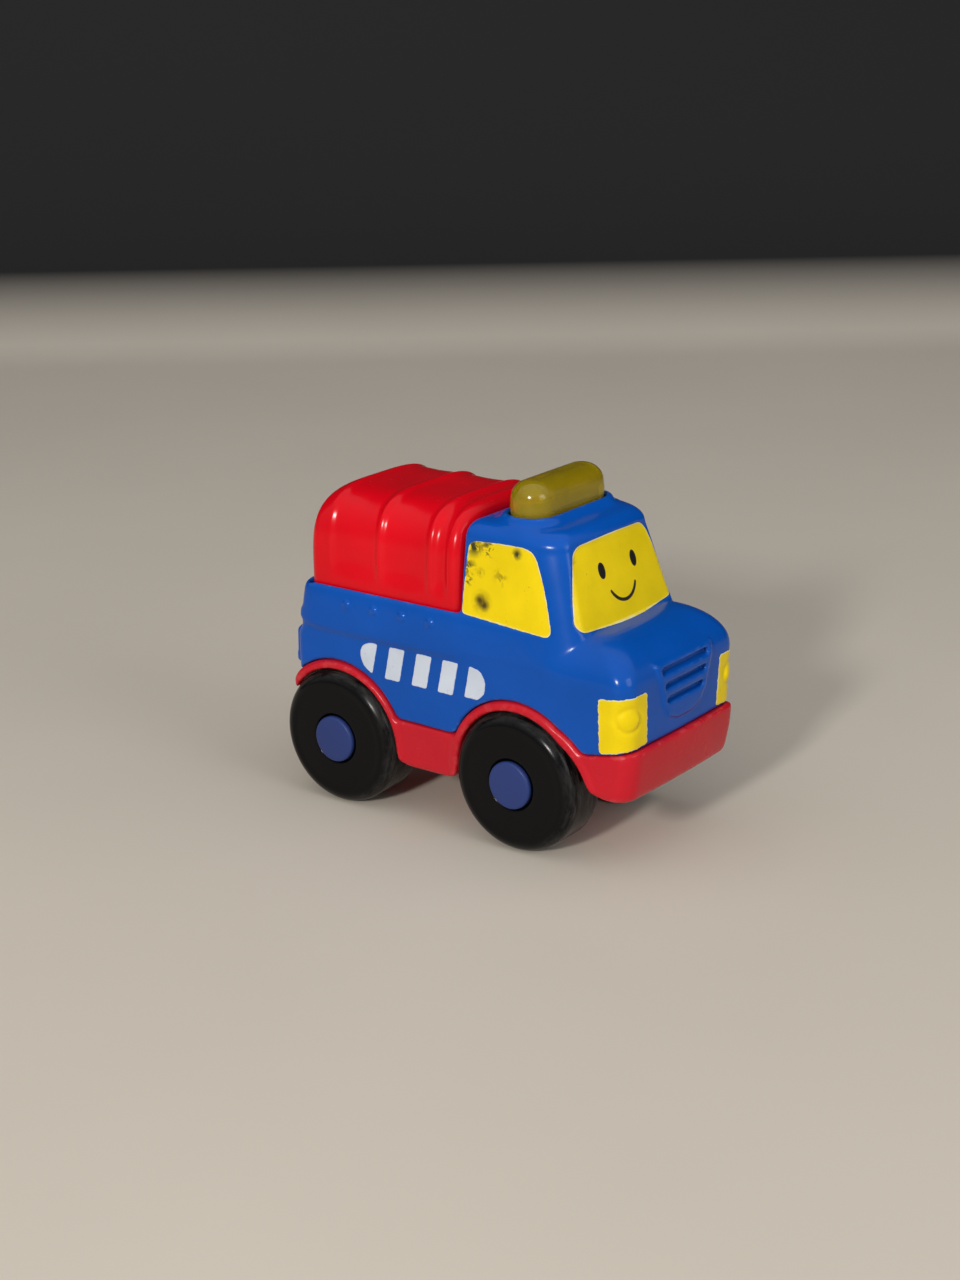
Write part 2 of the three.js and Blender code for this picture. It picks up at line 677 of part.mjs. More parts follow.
function coverSolid(inset, low) {
  const back = bedBackX + SEAT_GAP;
  const front = bedFrontX;
  const rings = [];
  for (let i = 0; i <= CANOPY_STEPS; i += 1) {
    const eased = (1 - Math.cos((Math.PI * i) / CANOPY_STEPS)) / 2;
    const x = lerp(back, front, lerp(i / CANOPY_STEPS, eased, 0.5));
    const draw = coverInset(x, back, front) + inset;
    const half = canopyHalf - draw;
    const topHalf = half - CANOPY_SIDE_LEAN;
    const top = canopyTop - draw;
    const round = CANOPY_SHOULDER;
    const section = [
      new THREE.Vector2(-half, low),
      new THREE.Vector2(half, low),
      new THREE.Vector2(half, RAIL_TOP),
      ...arc(topHalf - round, top - round, round, 0, 90, CORNER_STEPS),
      ...arc(round - topHalf, top - round, round, 90, 180, CORNER_STEPS),
      new THREE.Vector2(-half, RAIL_TOP),
    ];
    const place = lerp(back + inset, front - inset, (x - back) / (front - back));
    rings.push(section.map((p) => new THREE.Vector3(place, p.x, p.y)));
  }
  return loft(rings);
}

function canopyCover() {
  const low = BED_FLOOR + SEAT_GAP;
  const outer = coverSolid(0, low);
  const hollow = coverSolid(WALL, low - WALL);
  const posts = canopyScrews.map(({ x, y }) => uprightRod(CANOPY_POST_RADIUS, x, y, low, canopyTop));
  const pilots = canopyScrews.map(({ x, y }) => screwHole(x, y, BED_FLOOR - WALL));
  return outer
    .subtract(hollow)
    .add(union(...posts).intersect(coverSolid(WALL / 2, low)))
    .subtract(union(...pilots));
}

// Red chassis: a tray with wheel wells, bearings and screw posts

function chassisOutside(inset) {
  const ring = (height, edge, bumperEdge) => {
    const drop = Math.max(WAIST_HEIGHT - height, 0) * SIDE_DRAFT;
    return planRing(height, {
      rear: backX - CHASSIS_PROUD + drop + inset + edge,
      front: bumperX - inset - edge - bumperEdge,
      half: BODY_WIDTH / 2 + CHASSIS_PROUD - drop - inset - edge,
      rearRadius: REAR_CORNER - inset,
      frontRadius: BUMPER_CORNER - inset,
      bulge: FRONT_BULGE,
    });
  };
  const edge = CHASSIS_EDGE;
  return loft([
    ring(FLOOR_HEIGHT, edge, edge),
    ring(FLOOR_HEIGHT + edge, 0, edge),
    ring(BUMPER_BOTTOM, 0, edge),
    ring(BUMPER_BOTTOM + edge / 2, 0, edge / 4),
    ring(BUMPER_BOTTOM + edge, 0, 0),
    ring(BUMPER_TOP - edge / 2, 0, 0),
    ring(BUMPER_TOP, 0, edge / 3),
    ring(WHEEL_RADIUS + bandRadius + ARCH_BLEND, 0, BUMPER_DEPTH),
  ]);
}

function screwHeadHeight(x) {
  return floorHeight(x) + SCREW_RECESS;
}

function screwHole(x, y, low) {
  return uprightRod(SCREW_RADIUS + AXLE_GAP, x, y, low - WALL, low + SCREW_LENGTH + SEAT_GAP, SCREW_SIDES);
}

function chassisTray() {
  const outer = chassisOutside(0).intersect(underParting(0)).intersect(overFloor(0));
  const hollow = chassisOutside(WALL).intersect(overFloor(WALL));
  const tubs = [];
  const wells = [];
  const bearings = [];
  const bores = [];
  for (const axleX of [rearAxleX, frontAxleX]) {
    bores.push(crossRod(AXLE_RADIUS + AXLE_GAP, axleX, WHEEL_RADIUS, -track, track, BEARING_SIDES));
    for (const side of [-1, 1]) {
      const span = (from, to) => (side > 0 ? [from, to] : [-to, -from]);
      for (const [x, z] of [[axleX, WHEEL_RADIUS], [axleX + ARCH_FLARE, WHEEL_RADIUS - ARCH_FLARE_DROP]]) {
        tubs.push(crossRod(bandRadius, x, z, ...span(wellY - WALL, BODY_WIDTH), WELL_SIDES));
        wells.push(crossRod(archRadius, x, z, ...span(wellY, BODY_WIDTH), WELL_SIDES));
      }
      const bearing = span(wellY - 2 * WALL, wheelInnerY - SIDE_PLAY);
      bearings.push(crossRod(WHEEL_HUB_RADIUS, axleX, WHEEL_RADIUS, ...bearing, BEARING_SIDES));
    }
  }
  const screwSeat = (x) => screwHeadHeight(x) + SCREW_HEAD_HEIGHT;
  const posts = chassisScrews.map(({ x, y }) => uprightRod(CHASSIS_POST_RADIUS, x, y, 0, SILL_TOP));
  const shanks = chassisScrews.map(({ x, y }) => screwHole(x, y, screwSeat(x)));
  const headRadius = SCREW_HEAD_RADIUS + SEAT_GAP;
  const heads = chassisScrews.map(({ x, y }) => uprightRod(headRadius, x, y, 0, screwSeat(x) + SEAT_GAP));
  return outer
    .subtract(hollow)
    .add(union(...tubs).intersect(outer))
    .subtract(union(...wells))
    .add(union(...bearings, ...posts).intersect(overFloor(0)))
    .subtract(union(...bores, ...shanks, ...heads));
}

// Beacon: a hollow amber lens with a ledge that holds it under the roof and a stem on the switch

function beaconButton() {
  const ring = (z, grow) => beaconOutline(grow).map((p) => new THREE.Vector3(p.x, p.y, z));
  const dome = (inset) => {
    const round = BEACON_ROUND - inset;
    const rings = [ring(lipTop - BEACON_LIP_THICKNESS - inset, -inset)];
    for (let i = 0; i <= ROUND_STEPS; i += 1) {
      const turn = ((i / ROUND_STEPS) * Math.PI) / 2;
      const height = beaconTop - inset - round * (1 - Math.sin(turn));
      rings.push(ring(height, -inset - round * (1 - Math.cos(turn))));
    }
    return loft(rings);
  };
  const lip = beaconPrism(BEACON_LIP, lipTop - BEACON_LIP_THICKNESS, lipTop);
  const stem = uprightRod(BEACON_STEM_RADIUS, beaconX, 0, stemFoot, beaconTop - BEACON_WALL / 2);
  return union(dome(0), lip).subtract(dome(BEACON_WALL)).add(stem);
}

// Lamp unit

function circuitBoard() {
  const half = BOARD_WIDTH / 2;
  const board = block([boardRearX, boardRearX + BOARD_LENGTH], [-half, half], [boardUnderside, boardTop]);
  return board.subtract(union(...boardScrews.map(({ x, y }) => screwHole(x, y, boardUnderside))));
}

function switchHousing() {
  const half = SWITCH_SIZE / 2;
  const low = boardTop + SEAT_GAP;
  const box = block([beaconX - half, beaconX + half], [-half, half], [low, switchTop]);
  const bore = uprightRod(PLUNGER_RADIUS + SEAT_GAP, beaconX, 0, low + SWITCH_FLOOR, far);
  return box.subtract(bore);
}

function lampLed() {
  const rim = LED_RADIUS + LED_RIM;
  const profile = [
    new THREE.Vector2(0, 0),
    new THREE.Vector2(rim, 0),
    new THREE.Vector2(rim, 1),
    new THREE.Vector2(LED_RADIUS, 1),
    ...arc(0, LED_HEIGHT - LED_RADIUS, LED_RADIUS, 0, 90, ROUND_STEPS),
  ];
  profile[profile.length - 1].x = 0;
  const led = new THREE.LatheGeometry(profile, POST_SIDES);
  led.rotateX(Math.PI / 2);
  led.translate(beaconX, LED_OFFSET, boardTop + SEAT_GAP);
  return solid(led);
}

// A bent strip that hugs the stack of button cells under the board.
function cellClip() {
  const top = boardUnderside - SEAT_GAP;
  const low = top - 2 * (CLIP_THICKNESS + SEAT_GAP) - CELL_COUNT * CELL_HEIGHT - (CELL_COUNT - 1) * SEAT_GAP;
  const back = beaconX - CELL_RADIUS - SEAT_GAP;
  const front = beaconX + CELL_RADIUS;
  const half = CLIP_WIDTH / 2;
  const outer = block([back - CLIP_THICKNESS, front], [-half, half], [low, top]);
  return outer.subtract(block([back, far], [-far, far], [low + CLIP_THICKNESS, top - CLIP_THICKNESS]));
}

function buttonCell(place) {
  const top = boardUnderside - CLIP_THICKNESS - 2 * SEAT_GAP - place * (CELL_HEIGHT + SEAT_GAP);
  const low = top - CELL_HEIGHT;
  const can = uprightRod(CELL_RADIUS, beaconX, 0, low, top - CELL_STEP, CAP_SIDES);
  return can.add(uprightRod(CELL_RADIUS - CELL_STEP, beaconX, 0, low, top, CAP_SIDES));
}

// Wheels, caps, axles and screws are turned

function wheelGeometry() {
  const outerY = WHEEL_WIDTH;
  const seatY = outerY - CAP_SEAT_DEPTH;
  const boreY = seatY - AXLE_COVER;
  const seatRadius = CAP_RADIUS + SEAT_GAP;
  const rim = WHEEL_RADIUS - WHEEL_SHOULDER;
  const innerRound = WHEEL_SHOULDER / 2;
  const innerRim = WHEEL_RADIUS - innerRound;
  const cavityRadius = WHEEL_RADIUS - WHEEL_WALL - innerRound / 2;
  const cavityFloor = seatY - WHEEL_WALL;
  const boreRadius = AXLE_RADIUS + AXLE_GAP;
  const profile = [
    new THREE.Vector2(0, boreY),
    new THREE.Vector2(boreRadius, boreY),
    new THREE.Vector2(boreRadius, 0),
    new THREE.Vector2(WHEEL_HUB_RADIUS, 0),
    new THREE.Vector2(WHEEL_HUB_RADIUS, cavityFloor),
    new THREE.Vector2(rim, cavityFloor),
    new THREE.Vector2(cavityRadius, cavityFloor - WHEEL_SHOULDER / 2),
    new THREE.Vector2(cavityRadius, 0),
    ...arc(innerRim, innerRound, innerRound, -90, 0, 2),
    ...arc(rim, outerY - WHEEL_SHOULDER, WHEEL_SHOULDER, 0, 90, ROUND_STEPS),
    new THREE.Vector2(seatRadius, outerY),
    new THREE.Vector2(seatRadius, seatY),
    new THREE.Vector2(0, seatY),
  ];
  return new THREE.LatheGeometry(profile, WHEEL_SIDES);
}

function hubCapGeometry() {
  const profile = [
    new THREE.Vector2(0, 0),
    new THREE.Vector2(CAP_RADIUS, 0),
    new THREE.Vector2(CAP_RADIUS, CAP_THICKNESS - CAP_CROWN),
    new THREE.Vector2(CAP_RADIUS - CAP_CROWN, CAP_THICKNESS),
    new THREE.Vector2(CAP_RADIUS / 2, CAP_THICKNESS + (CAP_CROWN * 3) / 4),
    new THREE.Vector2(0, CAP_THICKNESS + CAP_CROWN),
  ];
  return new THREE.LatheGeometry(profile, CAP_SIDES);
}

function axleGeometry() {
  const half = capSeatY - AXLE_COVER - SEAT_GAP;
  return new THREE.CylinderGeometry(AXLE_RADIUS, AXLE_RADIUS, 2 * half, BEARING_SIDES);
}

// A pan-head screw that points up, with the underside of its head at the origin.
function screwGeometry() {
  const round = SCREW_HEAD_HEIGHT / 3;
  const profile = [
    new THREE.Vector2(0, -SCREW_HEAD_HEIGHT),
    new THREE.Vector2(SCREW_HEAD_RADIUS - round, -SCREW_HEAD_HEIGHT),
    new THREE.Vector2(SCREW_HEAD_RADIUS, round - SCREW_HEAD_HEIGHT),
    new THREE.Vector2(SCREW_HEAD_RADIUS, 0),
    new THREE.Vector2(SCREW_RADIUS, 0),
    new THREE.Vector2(SCREW_RADIUS, SCREW_LENGTH - SCREW_RADIUS),
    new THREE.Vector2(0, SCREW_LENGTH),
  ];
  const screw = new THREE.LatheGeometry(profile, SCREW_SIDES);
  screw.rotateX(Math.PI / 2);
  return screw;
}

// Finishes

function finish(color, roughness, metalness = 0) {
  return new THREE.MeshStandardMaterial({ color, roughness, metalness });
}

const blue = finish('#0b52b4', 0.3);
const coverRed = finish('#d60a18', 0.34);
const chassisRed = finish('#c4202c', 0.36);
const black = finish('#0c0c0e', 0.4);
const capBlue = finish('#3a4590', 0.42);
const amber = finish('#8c7c10', 0.18);
amber.transparent = true;
amber.opacity = 0.85;
const steel = finish('#b8babd', 0.32, 1);
const white = finish('#e8e4da', 0.5);
const green = finish('#1f6b3a', 0.5);
const darkPlastic = finish('#26272a', 0.5);
const ledClear = finish('#f1e6b4', 0.15);

// Assembly

const car = new THREE.Group();

function piece(name, shape, material, parent = car) {
  const mesh = new THREE.Mesh(shape.isBufferGeometry ? shape : surface(shape), material);
  mesh.name = name;
  parent.add(mesh);
  return mesh;
}

function screwSet(name, places, headHeight) {
  places.forEach(({ x, y }, i) => {
    piece(`${name}_${i + 1}`, screwGeometry(), steel).position.set(x, y, headHeight(x));
  });
}

piece('body_shell', bodyShell(), blue);
piece('canopy_cover', canopyCover(), coverRed);
piece('chassis', chassisTray(), chassisRed);
piece('beacon_button', beaconButton(), amber);
piece('circuit_board', circuitBoard(), green);
piece('switch_housing', switchHousing(), darkPlastic);
piece('switch_plunger', uprightRod(PLUNGER_RADIUS, beaconX, 0, plungerFoot, stemFoot - SEAT_GAP), white);
piece('lamp_led', lampLed(), ledClear);
piece('cell_clip', cellClip(), steel);
for (let i = 0; i < CELL_COUNT; i += 1) piece(`button_cell_${i + 1}`, buttonCell(i), steel);

screwSet('chassis_screw', chassisScrews, (x) => screwHeadHeight(x) + SCREW_HEAD_HEIGHT);
screwSet('canopy_screw', canopyScrews, () => BED_FLOOR - WALL - SEAT_GAP);
screwSet('board_screw', boardScrews, () => boardUnderside - SEAT_GAP);

for (const [end, axleX] of [['front', frontAxleX], ['rear', rearAxleX]]) {
  const axle = new THREE.Group();
  axle.position.set(axleX, 0, WHEEL_RADIUS);
  car.add(axle);
  piece(`${end}_axle`, axleGeometry(), steel, axle);
  for (const [side, turn] of [['left', 0], ['right', Math.PI]]) {
    const corner = new THREE.Group();
    corner.rotation.z = turn;
    axle.add(corner);
    piece(`wheel_${end}_${side}`, wheelGeometry(), black, corner).position.y = wheelInnerY;
    piece(`hub_cap_${end}_${side}`, hubCapGeometry(), capBlue, corner).position.y = capSeatY + SEAT_GAP;
  }
}

export default car;
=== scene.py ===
# %% [markdown]
# A chunky moulded toy truck: a blue body, a red ribbed load cover, a red chassis with bumpers and
# wheel arches, four black wheels and an amber beacon that is pressed to light it. The CAD frame
# already has every piece at its real size. This lesson dresses it: finer meshes for what shows,
# thin films for the paint, and worn toy plastics.

# %% The frame
import math

import bmesh
import bpy
import numpy as np
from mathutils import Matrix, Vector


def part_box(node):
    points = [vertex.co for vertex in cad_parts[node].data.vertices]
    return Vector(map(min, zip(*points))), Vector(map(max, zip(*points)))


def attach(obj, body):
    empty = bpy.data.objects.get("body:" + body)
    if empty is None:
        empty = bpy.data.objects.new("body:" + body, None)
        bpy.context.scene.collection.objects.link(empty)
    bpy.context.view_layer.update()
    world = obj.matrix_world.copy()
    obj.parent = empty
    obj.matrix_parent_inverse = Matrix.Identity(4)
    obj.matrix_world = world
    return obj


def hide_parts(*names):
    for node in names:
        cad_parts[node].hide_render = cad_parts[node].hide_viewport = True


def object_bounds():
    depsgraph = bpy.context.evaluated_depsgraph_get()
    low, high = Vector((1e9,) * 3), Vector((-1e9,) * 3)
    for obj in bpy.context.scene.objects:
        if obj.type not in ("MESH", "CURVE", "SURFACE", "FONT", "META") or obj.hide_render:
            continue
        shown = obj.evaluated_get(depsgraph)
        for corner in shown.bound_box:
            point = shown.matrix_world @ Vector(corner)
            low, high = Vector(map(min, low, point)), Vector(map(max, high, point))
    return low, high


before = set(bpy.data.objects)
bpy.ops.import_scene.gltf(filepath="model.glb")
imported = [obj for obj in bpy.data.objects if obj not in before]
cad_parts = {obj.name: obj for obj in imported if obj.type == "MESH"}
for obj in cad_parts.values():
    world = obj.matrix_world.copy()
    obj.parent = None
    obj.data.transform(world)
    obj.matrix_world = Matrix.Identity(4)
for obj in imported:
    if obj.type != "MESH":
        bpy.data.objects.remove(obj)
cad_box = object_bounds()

import openvdb
from mathutils import Matrix, Vector
from mathutils.bvhtree import BVHTree

MM = 0.001
cad_size = [round((high - low) / MM, 1) for low, high in zip(*cad_box)]
print("CAD nodes:", len(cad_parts), "size in mm:", cad_size)

# %% [markdown]
# The camera stands where the photograph was taken from: a little above the car, at its right front
# corner. It could be aimed with a Track To constraint, but the photograph is also rolled by about
# a degree, so the three axes of the camera are worked out and put straight into its matrix.

# %% Camera
CAMERA_PLACE = Vector((309.0, -412.8, 214.2)) * MM
CAMERA_AZIMUTH, CAMERA_ELEVATION, CAMERA_ROLL = (math.radians(a) for a in (37.55, 18.45, -1.11))
LONG_SIDE, FOCAL_PIXELS = 1280, 2250  # both in pixels of the photograph
SENSOR = 36  # mm


def into_scene(name, data):
    """A new object of this data, linked to the scene."""
    made = bpy.data.objects.new(name, data)
    bpy.context.collection.objects.link(made)
    return made


backward = Vector((
    math.sin(CAMERA_AZIMUTH) * math.cos(CAMERA_ELEVATION),
    -math.cos(CAMERA_AZIMUTH) * math.cos(CAMERA_ELEVATION),
    math.sin(CAMERA_ELEVATION),
))
rightward = Vector((0, 0, 1)).cross(backward).normalized()
upward = backward.cross(rightward)
turn = Matrix((rightward, upward, backward)).transposed() @ Matrix.Rotation(CAMERA_ROLL, 3, "Z")

camera_data = bpy.data.cameras.new("photo_camera")
camera_data.sensor_width = SENSOR
camera_data.lens = SENSOR * FOCAL_PIXELS / LONG_SIDE
camera_data.clip_start, camera_data.clip_end = 0.01, 20
camera = into_scene("photo_camera", camera_data)
camera.matrix_world = Matrix.Translation(CAMERA_PLACE) @ turn.to_4x4()
bpy.context.scene.camera = camera
bpy.context.scene.view_settings.view_transform = "Standard"
print("lens in mm:", round(camera_data.lens, 2))

# %% [markdown]
# A material is a small node tree. These helpers keep each tree short: one adds a node and sets its
# sockets by name, one gives noise in the object's own metres, one turns a grey value into a range,
# and blotches are both in one. Constant values go straight on the shader's sockets.

# %% Helpers for materials
MIX_AMOUNT, MIX_FIRST, MIX_SECOND, MIX_RESULT = 0, 6, 7, 2  # where a colour mix has its sockets


def feed(tree, socket, value):
    """Links a socket to another one, or sets its number or colour."""
    if isinstance(value, bpy.types.NodeSocket):
        tree.links.new(value, socket)
    else:
        socket.default_value = value


def add_node(tree, kind, **sockets):
    node = tree.nodes.new("ShaderNode" + kind)
    for name, value in sockets.items():
        feed(tree, node.inputs[name.replace("_", " ")], value)
    return node


def plastic(name, colour, roughness, **sockets):
    """A new material and its tree, shader and object coordinates."""
    material = bpy.data.materials.new(name)
    material.use_nodes = True
    tree = material.node_tree
    shader = tree.nodes["Principled BSDF"]
    shader.inputs["Base Color"].default_value = (*colour, 1)
    shader.inputs["Roughness"].default_value = roughness
    for socket, value in sockets.items():
        shader.inputs[socket.replace("_", " ")].default_value = value
    material.diffuse_color = (*colour, 1)
    return material, tree, shader, add_node(tree, "TexCoord").outputs["Object"]


def noise(tree, place, size_mm, detail, rough=0.55, distort=0.0):
    node = add_node(tree, "TexNoise", Vector=place, Scale=1000 / size_mm, Detail=detail,
                    Roughness=rough, Distortion=distort)
    return node.outputs["Fac"]


def spread(tree, grey, low, high, to_low=0.0, to_high=1.0):
    node = add_node(tree, "MapRange", Value=grey, From_Min=low, From_Max=high,
                    To_Min=to_low, To_Max=to_high)
    return node.outputs["Result"]


def blotches(tree, place, size_mm, detail, low, high):
    return spread(tree, noise(tree, place, size_mm, detail), low, high)


def marked(tree, name):
    """A number that each vertex of the mesh carries."""
    node = add_node(tree, "Attribute")
    node.attribute_name = name
    return node.outputs["Fac"]


def combine(tree, how, first, second):
    node = add_node(tree, "Math")
    node.operation = how
    for socket, value in zip(node.inputs, (first, second)):
        feed(tree, socket, value)
    return node.outputs[0]


def times(tree, first, second):
    return combine(tree, "MULTIPLY", first, second)


def plus(tree, first, second):
    return combine(tree, "ADD", first, second)


def tint(tree, amount, first, second):
    """Mixes two colours, each a socket or three numbers, by a grey value."""
    node = tree.nodes.new("ShaderNodeMix")
    node.data_type = "RGBA"
    tree.links.new(amount, node.inputs[MIX_AMOUNT])
    for place, colour in ((MIX_FIRST, first), (MIX_SECOND, second)):
        feed(tree, node.inputs[place], colour if isinstance(colour, bpy.types.NodeSocket) else (*colour, 1))
    return node.outputs[MIX_RESULT]


def shade(colour, factor):
    return tuple(min(factor * c, 1) for c in colour)


def roughen(tree, shader, height, distance_mm):
    bump = add_node(tree, "Bump", Height=height, Distance=distance_mm * MM, Strength=1.0)
    tree.links.new(bump.outputs["Normal"], shader.inputs["Normal"])


print("material helpers ready")

# %% [markdown]
# The truck stands on a plain pale table top, which also lights its lower sides from below. Behind it the
# room is dark, and the glossy roof and bonnet mirror that, so the floor is one strip that sweeps up into a
# plain dark backdrop, and its colour changes with height.

# %% Floor and backdrop
TABLE_COLOUR, WALL_COLOUR = (0.62, 0.56, 0.475), (0.022, 0.022, 0.023)
FLOOR_HALF, FLOOR_NEAR, FLOOR_MIDDLE = 2.5, -3.0, -1.0  # metres, below zero towards the camera
SWEEP_START, SWEEP_RADIUS, WALL_TOP = 0.55, 0.2, 1.6  # metres
PALE_UP_TO, DARK_FROM = 0.004, 0.03  # metres above the table


def bridge(shape, rows, closed=True):
    """Faces between each row of vertices and the next."""
    for row, following in zip(rows, rows[1:]):
        for i in range(len(row) if closed else len(row) - 1):
            j = (i + 1) % len(row)
            shape.faces.new((row[i], row[j], following[j], following[i]))


def mesh_of(name, shape):
    mesh = bpy.data.meshes.new(name)
    shape.to_mesh(mesh)
    shape.free()
    return mesh


table, tree, shader, place = plastic("table_top", TABLE_COLOUR, 0.6, Specular_IOR_Level=0.08)
height = add_node(tree, "SeparateXYZ", Vector=place).outputs["Z"]
mottle = blotches(tree, place, 180, 4, 0.3, 0.7)
pale = tint(tree, mottle, TABLE_COLOUR, shade(TABLE_COLOUR, 0.95))
strip = tint(tree, spread(tree, height, PALE_UP_TO, DARK_FROM), pale, WALL_COLOUR)
tree.links.new(strip, shader.inputs["Base Color"])

profile = [(FLOOR_NEAR, 0.0), (FLOOR_MIDDLE, 0.0), (SWEEP_START, 0.0)]
for angle in np.linspace(0, math.pi / 2, 32)[1:]:
    profile.append((SWEEP_START + SWEEP_RADIUS * math.sin(angle), SWEEP_RADIUS * (1 - math.cos(angle))))
profile.append((SWEEP_START + SWEEP_RADIUS, WALL_TOP))
sweep = bmesh.new()
rows = [[sweep.verts.new((x, y, z)) for x in (-FLOOR_HALF, FLOOR_HALF)] for y, z in profile]
bridge(sweep, rows, closed=False)
sweep_mesh = mesh_of("floor_sweep", sweep)
sweep_mesh.shade_smooth()
sweep_mesh.materials.append(table)
floor = into_scene("floor_sweep", sweep_mesh)
floor.rotation_euler.z = CAMERA_AZIMUTH
print("floor rows:", len(rows))

# %% [markdown]
# Glossy plastic is drawn by what it mirrors, so the lamps matter more than the colour. One small
# box low on the left gives the short bright streaks on the ribs and wheels, and a weak panel on the
# right opens the bumper. The rest is a plain sky, a gradient that is brighter overhead, which a
# large lamp can't replace: its square edges would show on the cover.

# %% Lights
LAMP_AIM = Vector((0, 0, 0.04))
SKY_COLOUR, SKY_LOW, SKY_HIGH = (0.84, 0.85, 0.87, 1), 0.25, 1.0  # its strength, level and overhead


def soft_box(name, place, size, watts, colour):
    lamp = bpy.data.lights.new(name, "AREA")
    lamp.shape = "RECTANGLE"
    lamp.size = lamp.size_y = size
    lamp.energy = watts
    lamp.color = colour
    box = into_scene(name, lamp)
    box.location = place
    box.rotation_euler = (LAMP_AIM - Vector(place)).to_track_quat("-Z", "Y").to_euler()


soft_box("key_box", (0.27, -1.18, 0.58), 0.14, 10, (1, 0.97, 0.93))
soft_box("side_panel", (1.0, -0.15, 0.5), 0.5, 2.5, (0.95, 0.97, 1))
world = bpy.data.worlds.new("studio")
world.use_nodes = True
tree, background = world.node_tree, world.node_tree.nodes["Background"]
background.inputs["Color"].default_value = SKY_COLOUR
direction = add_node(tree, "TexCoord").outputs["Generated"]
height = add_node(tree, "SeparateXYZ", Vector=direction).outputs["Z"]
tree.links.new(spread(tree, height, 0.0, 1.0, SKY_LOW, SKY_HIGH), background.inputs["Strength"])
bpy.context.scene.world = world

# %% [markdown]
# The body and the chassis are injection mouldings: every edge is soft, and forms melt into each
# other. Lofts with bevels could do it, but bevels break where many forms meet. So each of the two
# is written as a distance field: at every point of a fine grid, how far is the surface? Joining is
# a minimum, cutting a maximum, and a soft minimum leaves a fillet as a mould maker would. OpenVDB,
# which Blender also uses for its voxel remesh, then draws the skin where the distance is zero. The
# car is the same on both sides, so only its left half is worked out.

# %% Distance fields
BULGE_START, BULGE_FULL = 16, 8  # how far behind a front its bulge begins, and is complete


def join(a, b, fillet):
    overlap = np.maximum(fillet - np.abs(a - b), 0)
    return np.minimum(a, b) - overlap**2 / (4 * fillet)


def cut(a, b, fillet):
    """What is left of a outside b."""
    return -join(-a, b, fillet)


def keep(a, b, fillet):
    """What a and b share."""
    return -join(-a, -b, fillet)


def ease(value, low, high):
    t = np.clip((value - low) / (high - low), 0, 1)
    return t * t * (3 - 2 * t)


def quarter_round(share):
    """How far a round edge has rolled in, from nothing at zero to all of it at one."""
    return 1 - np.sqrt(1 - share**2)


def grid_axes(low, high, pitch):
    x, y, z = (np.arange(a, b + pitch, pitch, dtype=np.float32) for a, b in zip(low, high))
    return x[:, None, None], y[None, :, None], z[None, None, :]


def plan(x, y, rear, front, half, rear_round, front_round, bulge=0.0, power=2.0, stretch=1.0):
    """Distance to an outline seen from above: round corners, and a front that bulges forward. A
    power below two flattens the corners towards a chamfer, and stretch draws the front ones out."""
    nose = np.maximum(half - front_round, 1.0)
    x = x + bulge * np.minimum(y / nose, 1) ** 2 * ease(x, front - BULGE_START, front - BULGE_FULL)
    ahead = x > (front + rear) / 2
    corner = np.where(ahead, front_round, rear_round)
    across, along = y - half + corner, np.where(ahead, (x - front) / stretch, rear - x) + corner
    outside = (np.maximum(across, 0) ** power + np.maximum(along, 0) ** power) ** (1 / power)
    return np.minimum(np.maximum(across, along), 0) + outside - corner


def bar(u, v, half_u, half_v, corner):
    """Distance to a rectangle with round corners."""
    across, along = np.abs(u) - half_u + corner, np.abs(v) - half_v + corner
    outside = np.hypot(np.maximum(across, 0), np.maximum(along, 0))
    return np.minimum(np.maximum(across, along), 0) + outside - corner


def polygon(u, v, corners):
    """Distance to a closed straight-sided outline in two directions."""
    best, sign = np.full(np.broadcast(u, v).shape, 1e9, np.float32), 1.0
    for (au, av), (bu, bv) in zip(corners, corners[1:] + corners[:1]):
        eu, ev, wu, wv = bu - au, bv - av, u - au, v - av
        t = np.clip((wu * eu + wv * ev) / (eu * eu + ev * ev), 0, 1)
        best = np.minimum(best, (wu - eu * t) ** 2 + (wv - ev * t) ** 2)
        over, under = v >= av, v < bv
        left = eu * wv > ev * wu
        flip = (over & under & left) | (~over & ~under & ~left)
        sign = np.where(flip, -sign, sign)
    return sign * np.sqrt(best)


def even(field, pitch):
    """Divides by the slope, so that the numbers near the skin are true distances."""
    slope = np.sqrt(sum(g * g for g in np.gradient(field, pitch)))
    return field / np.maximum(slope, 0.4)


print("field helpers ready")

# %% [markdown]
# The sizes are in millimetres from the middle of the ground under the car: forward is x, left is y
# and up is z. What moves has to turn on the CAD's own axes, so the places of the axles and the
# beacon are measured on the frame. The line between blue and red runs over both wheel arches, and
# both mouldings need it, so it is a field of its own: the arches' circles joined to the sill's level.

# %% Sizes and the parting line
def node_middle(node):
    """The middle of a CAD node, in millimetres."""
    return [round((low + high) / 2 / MM, 1) for low, high in zip(*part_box(node))]


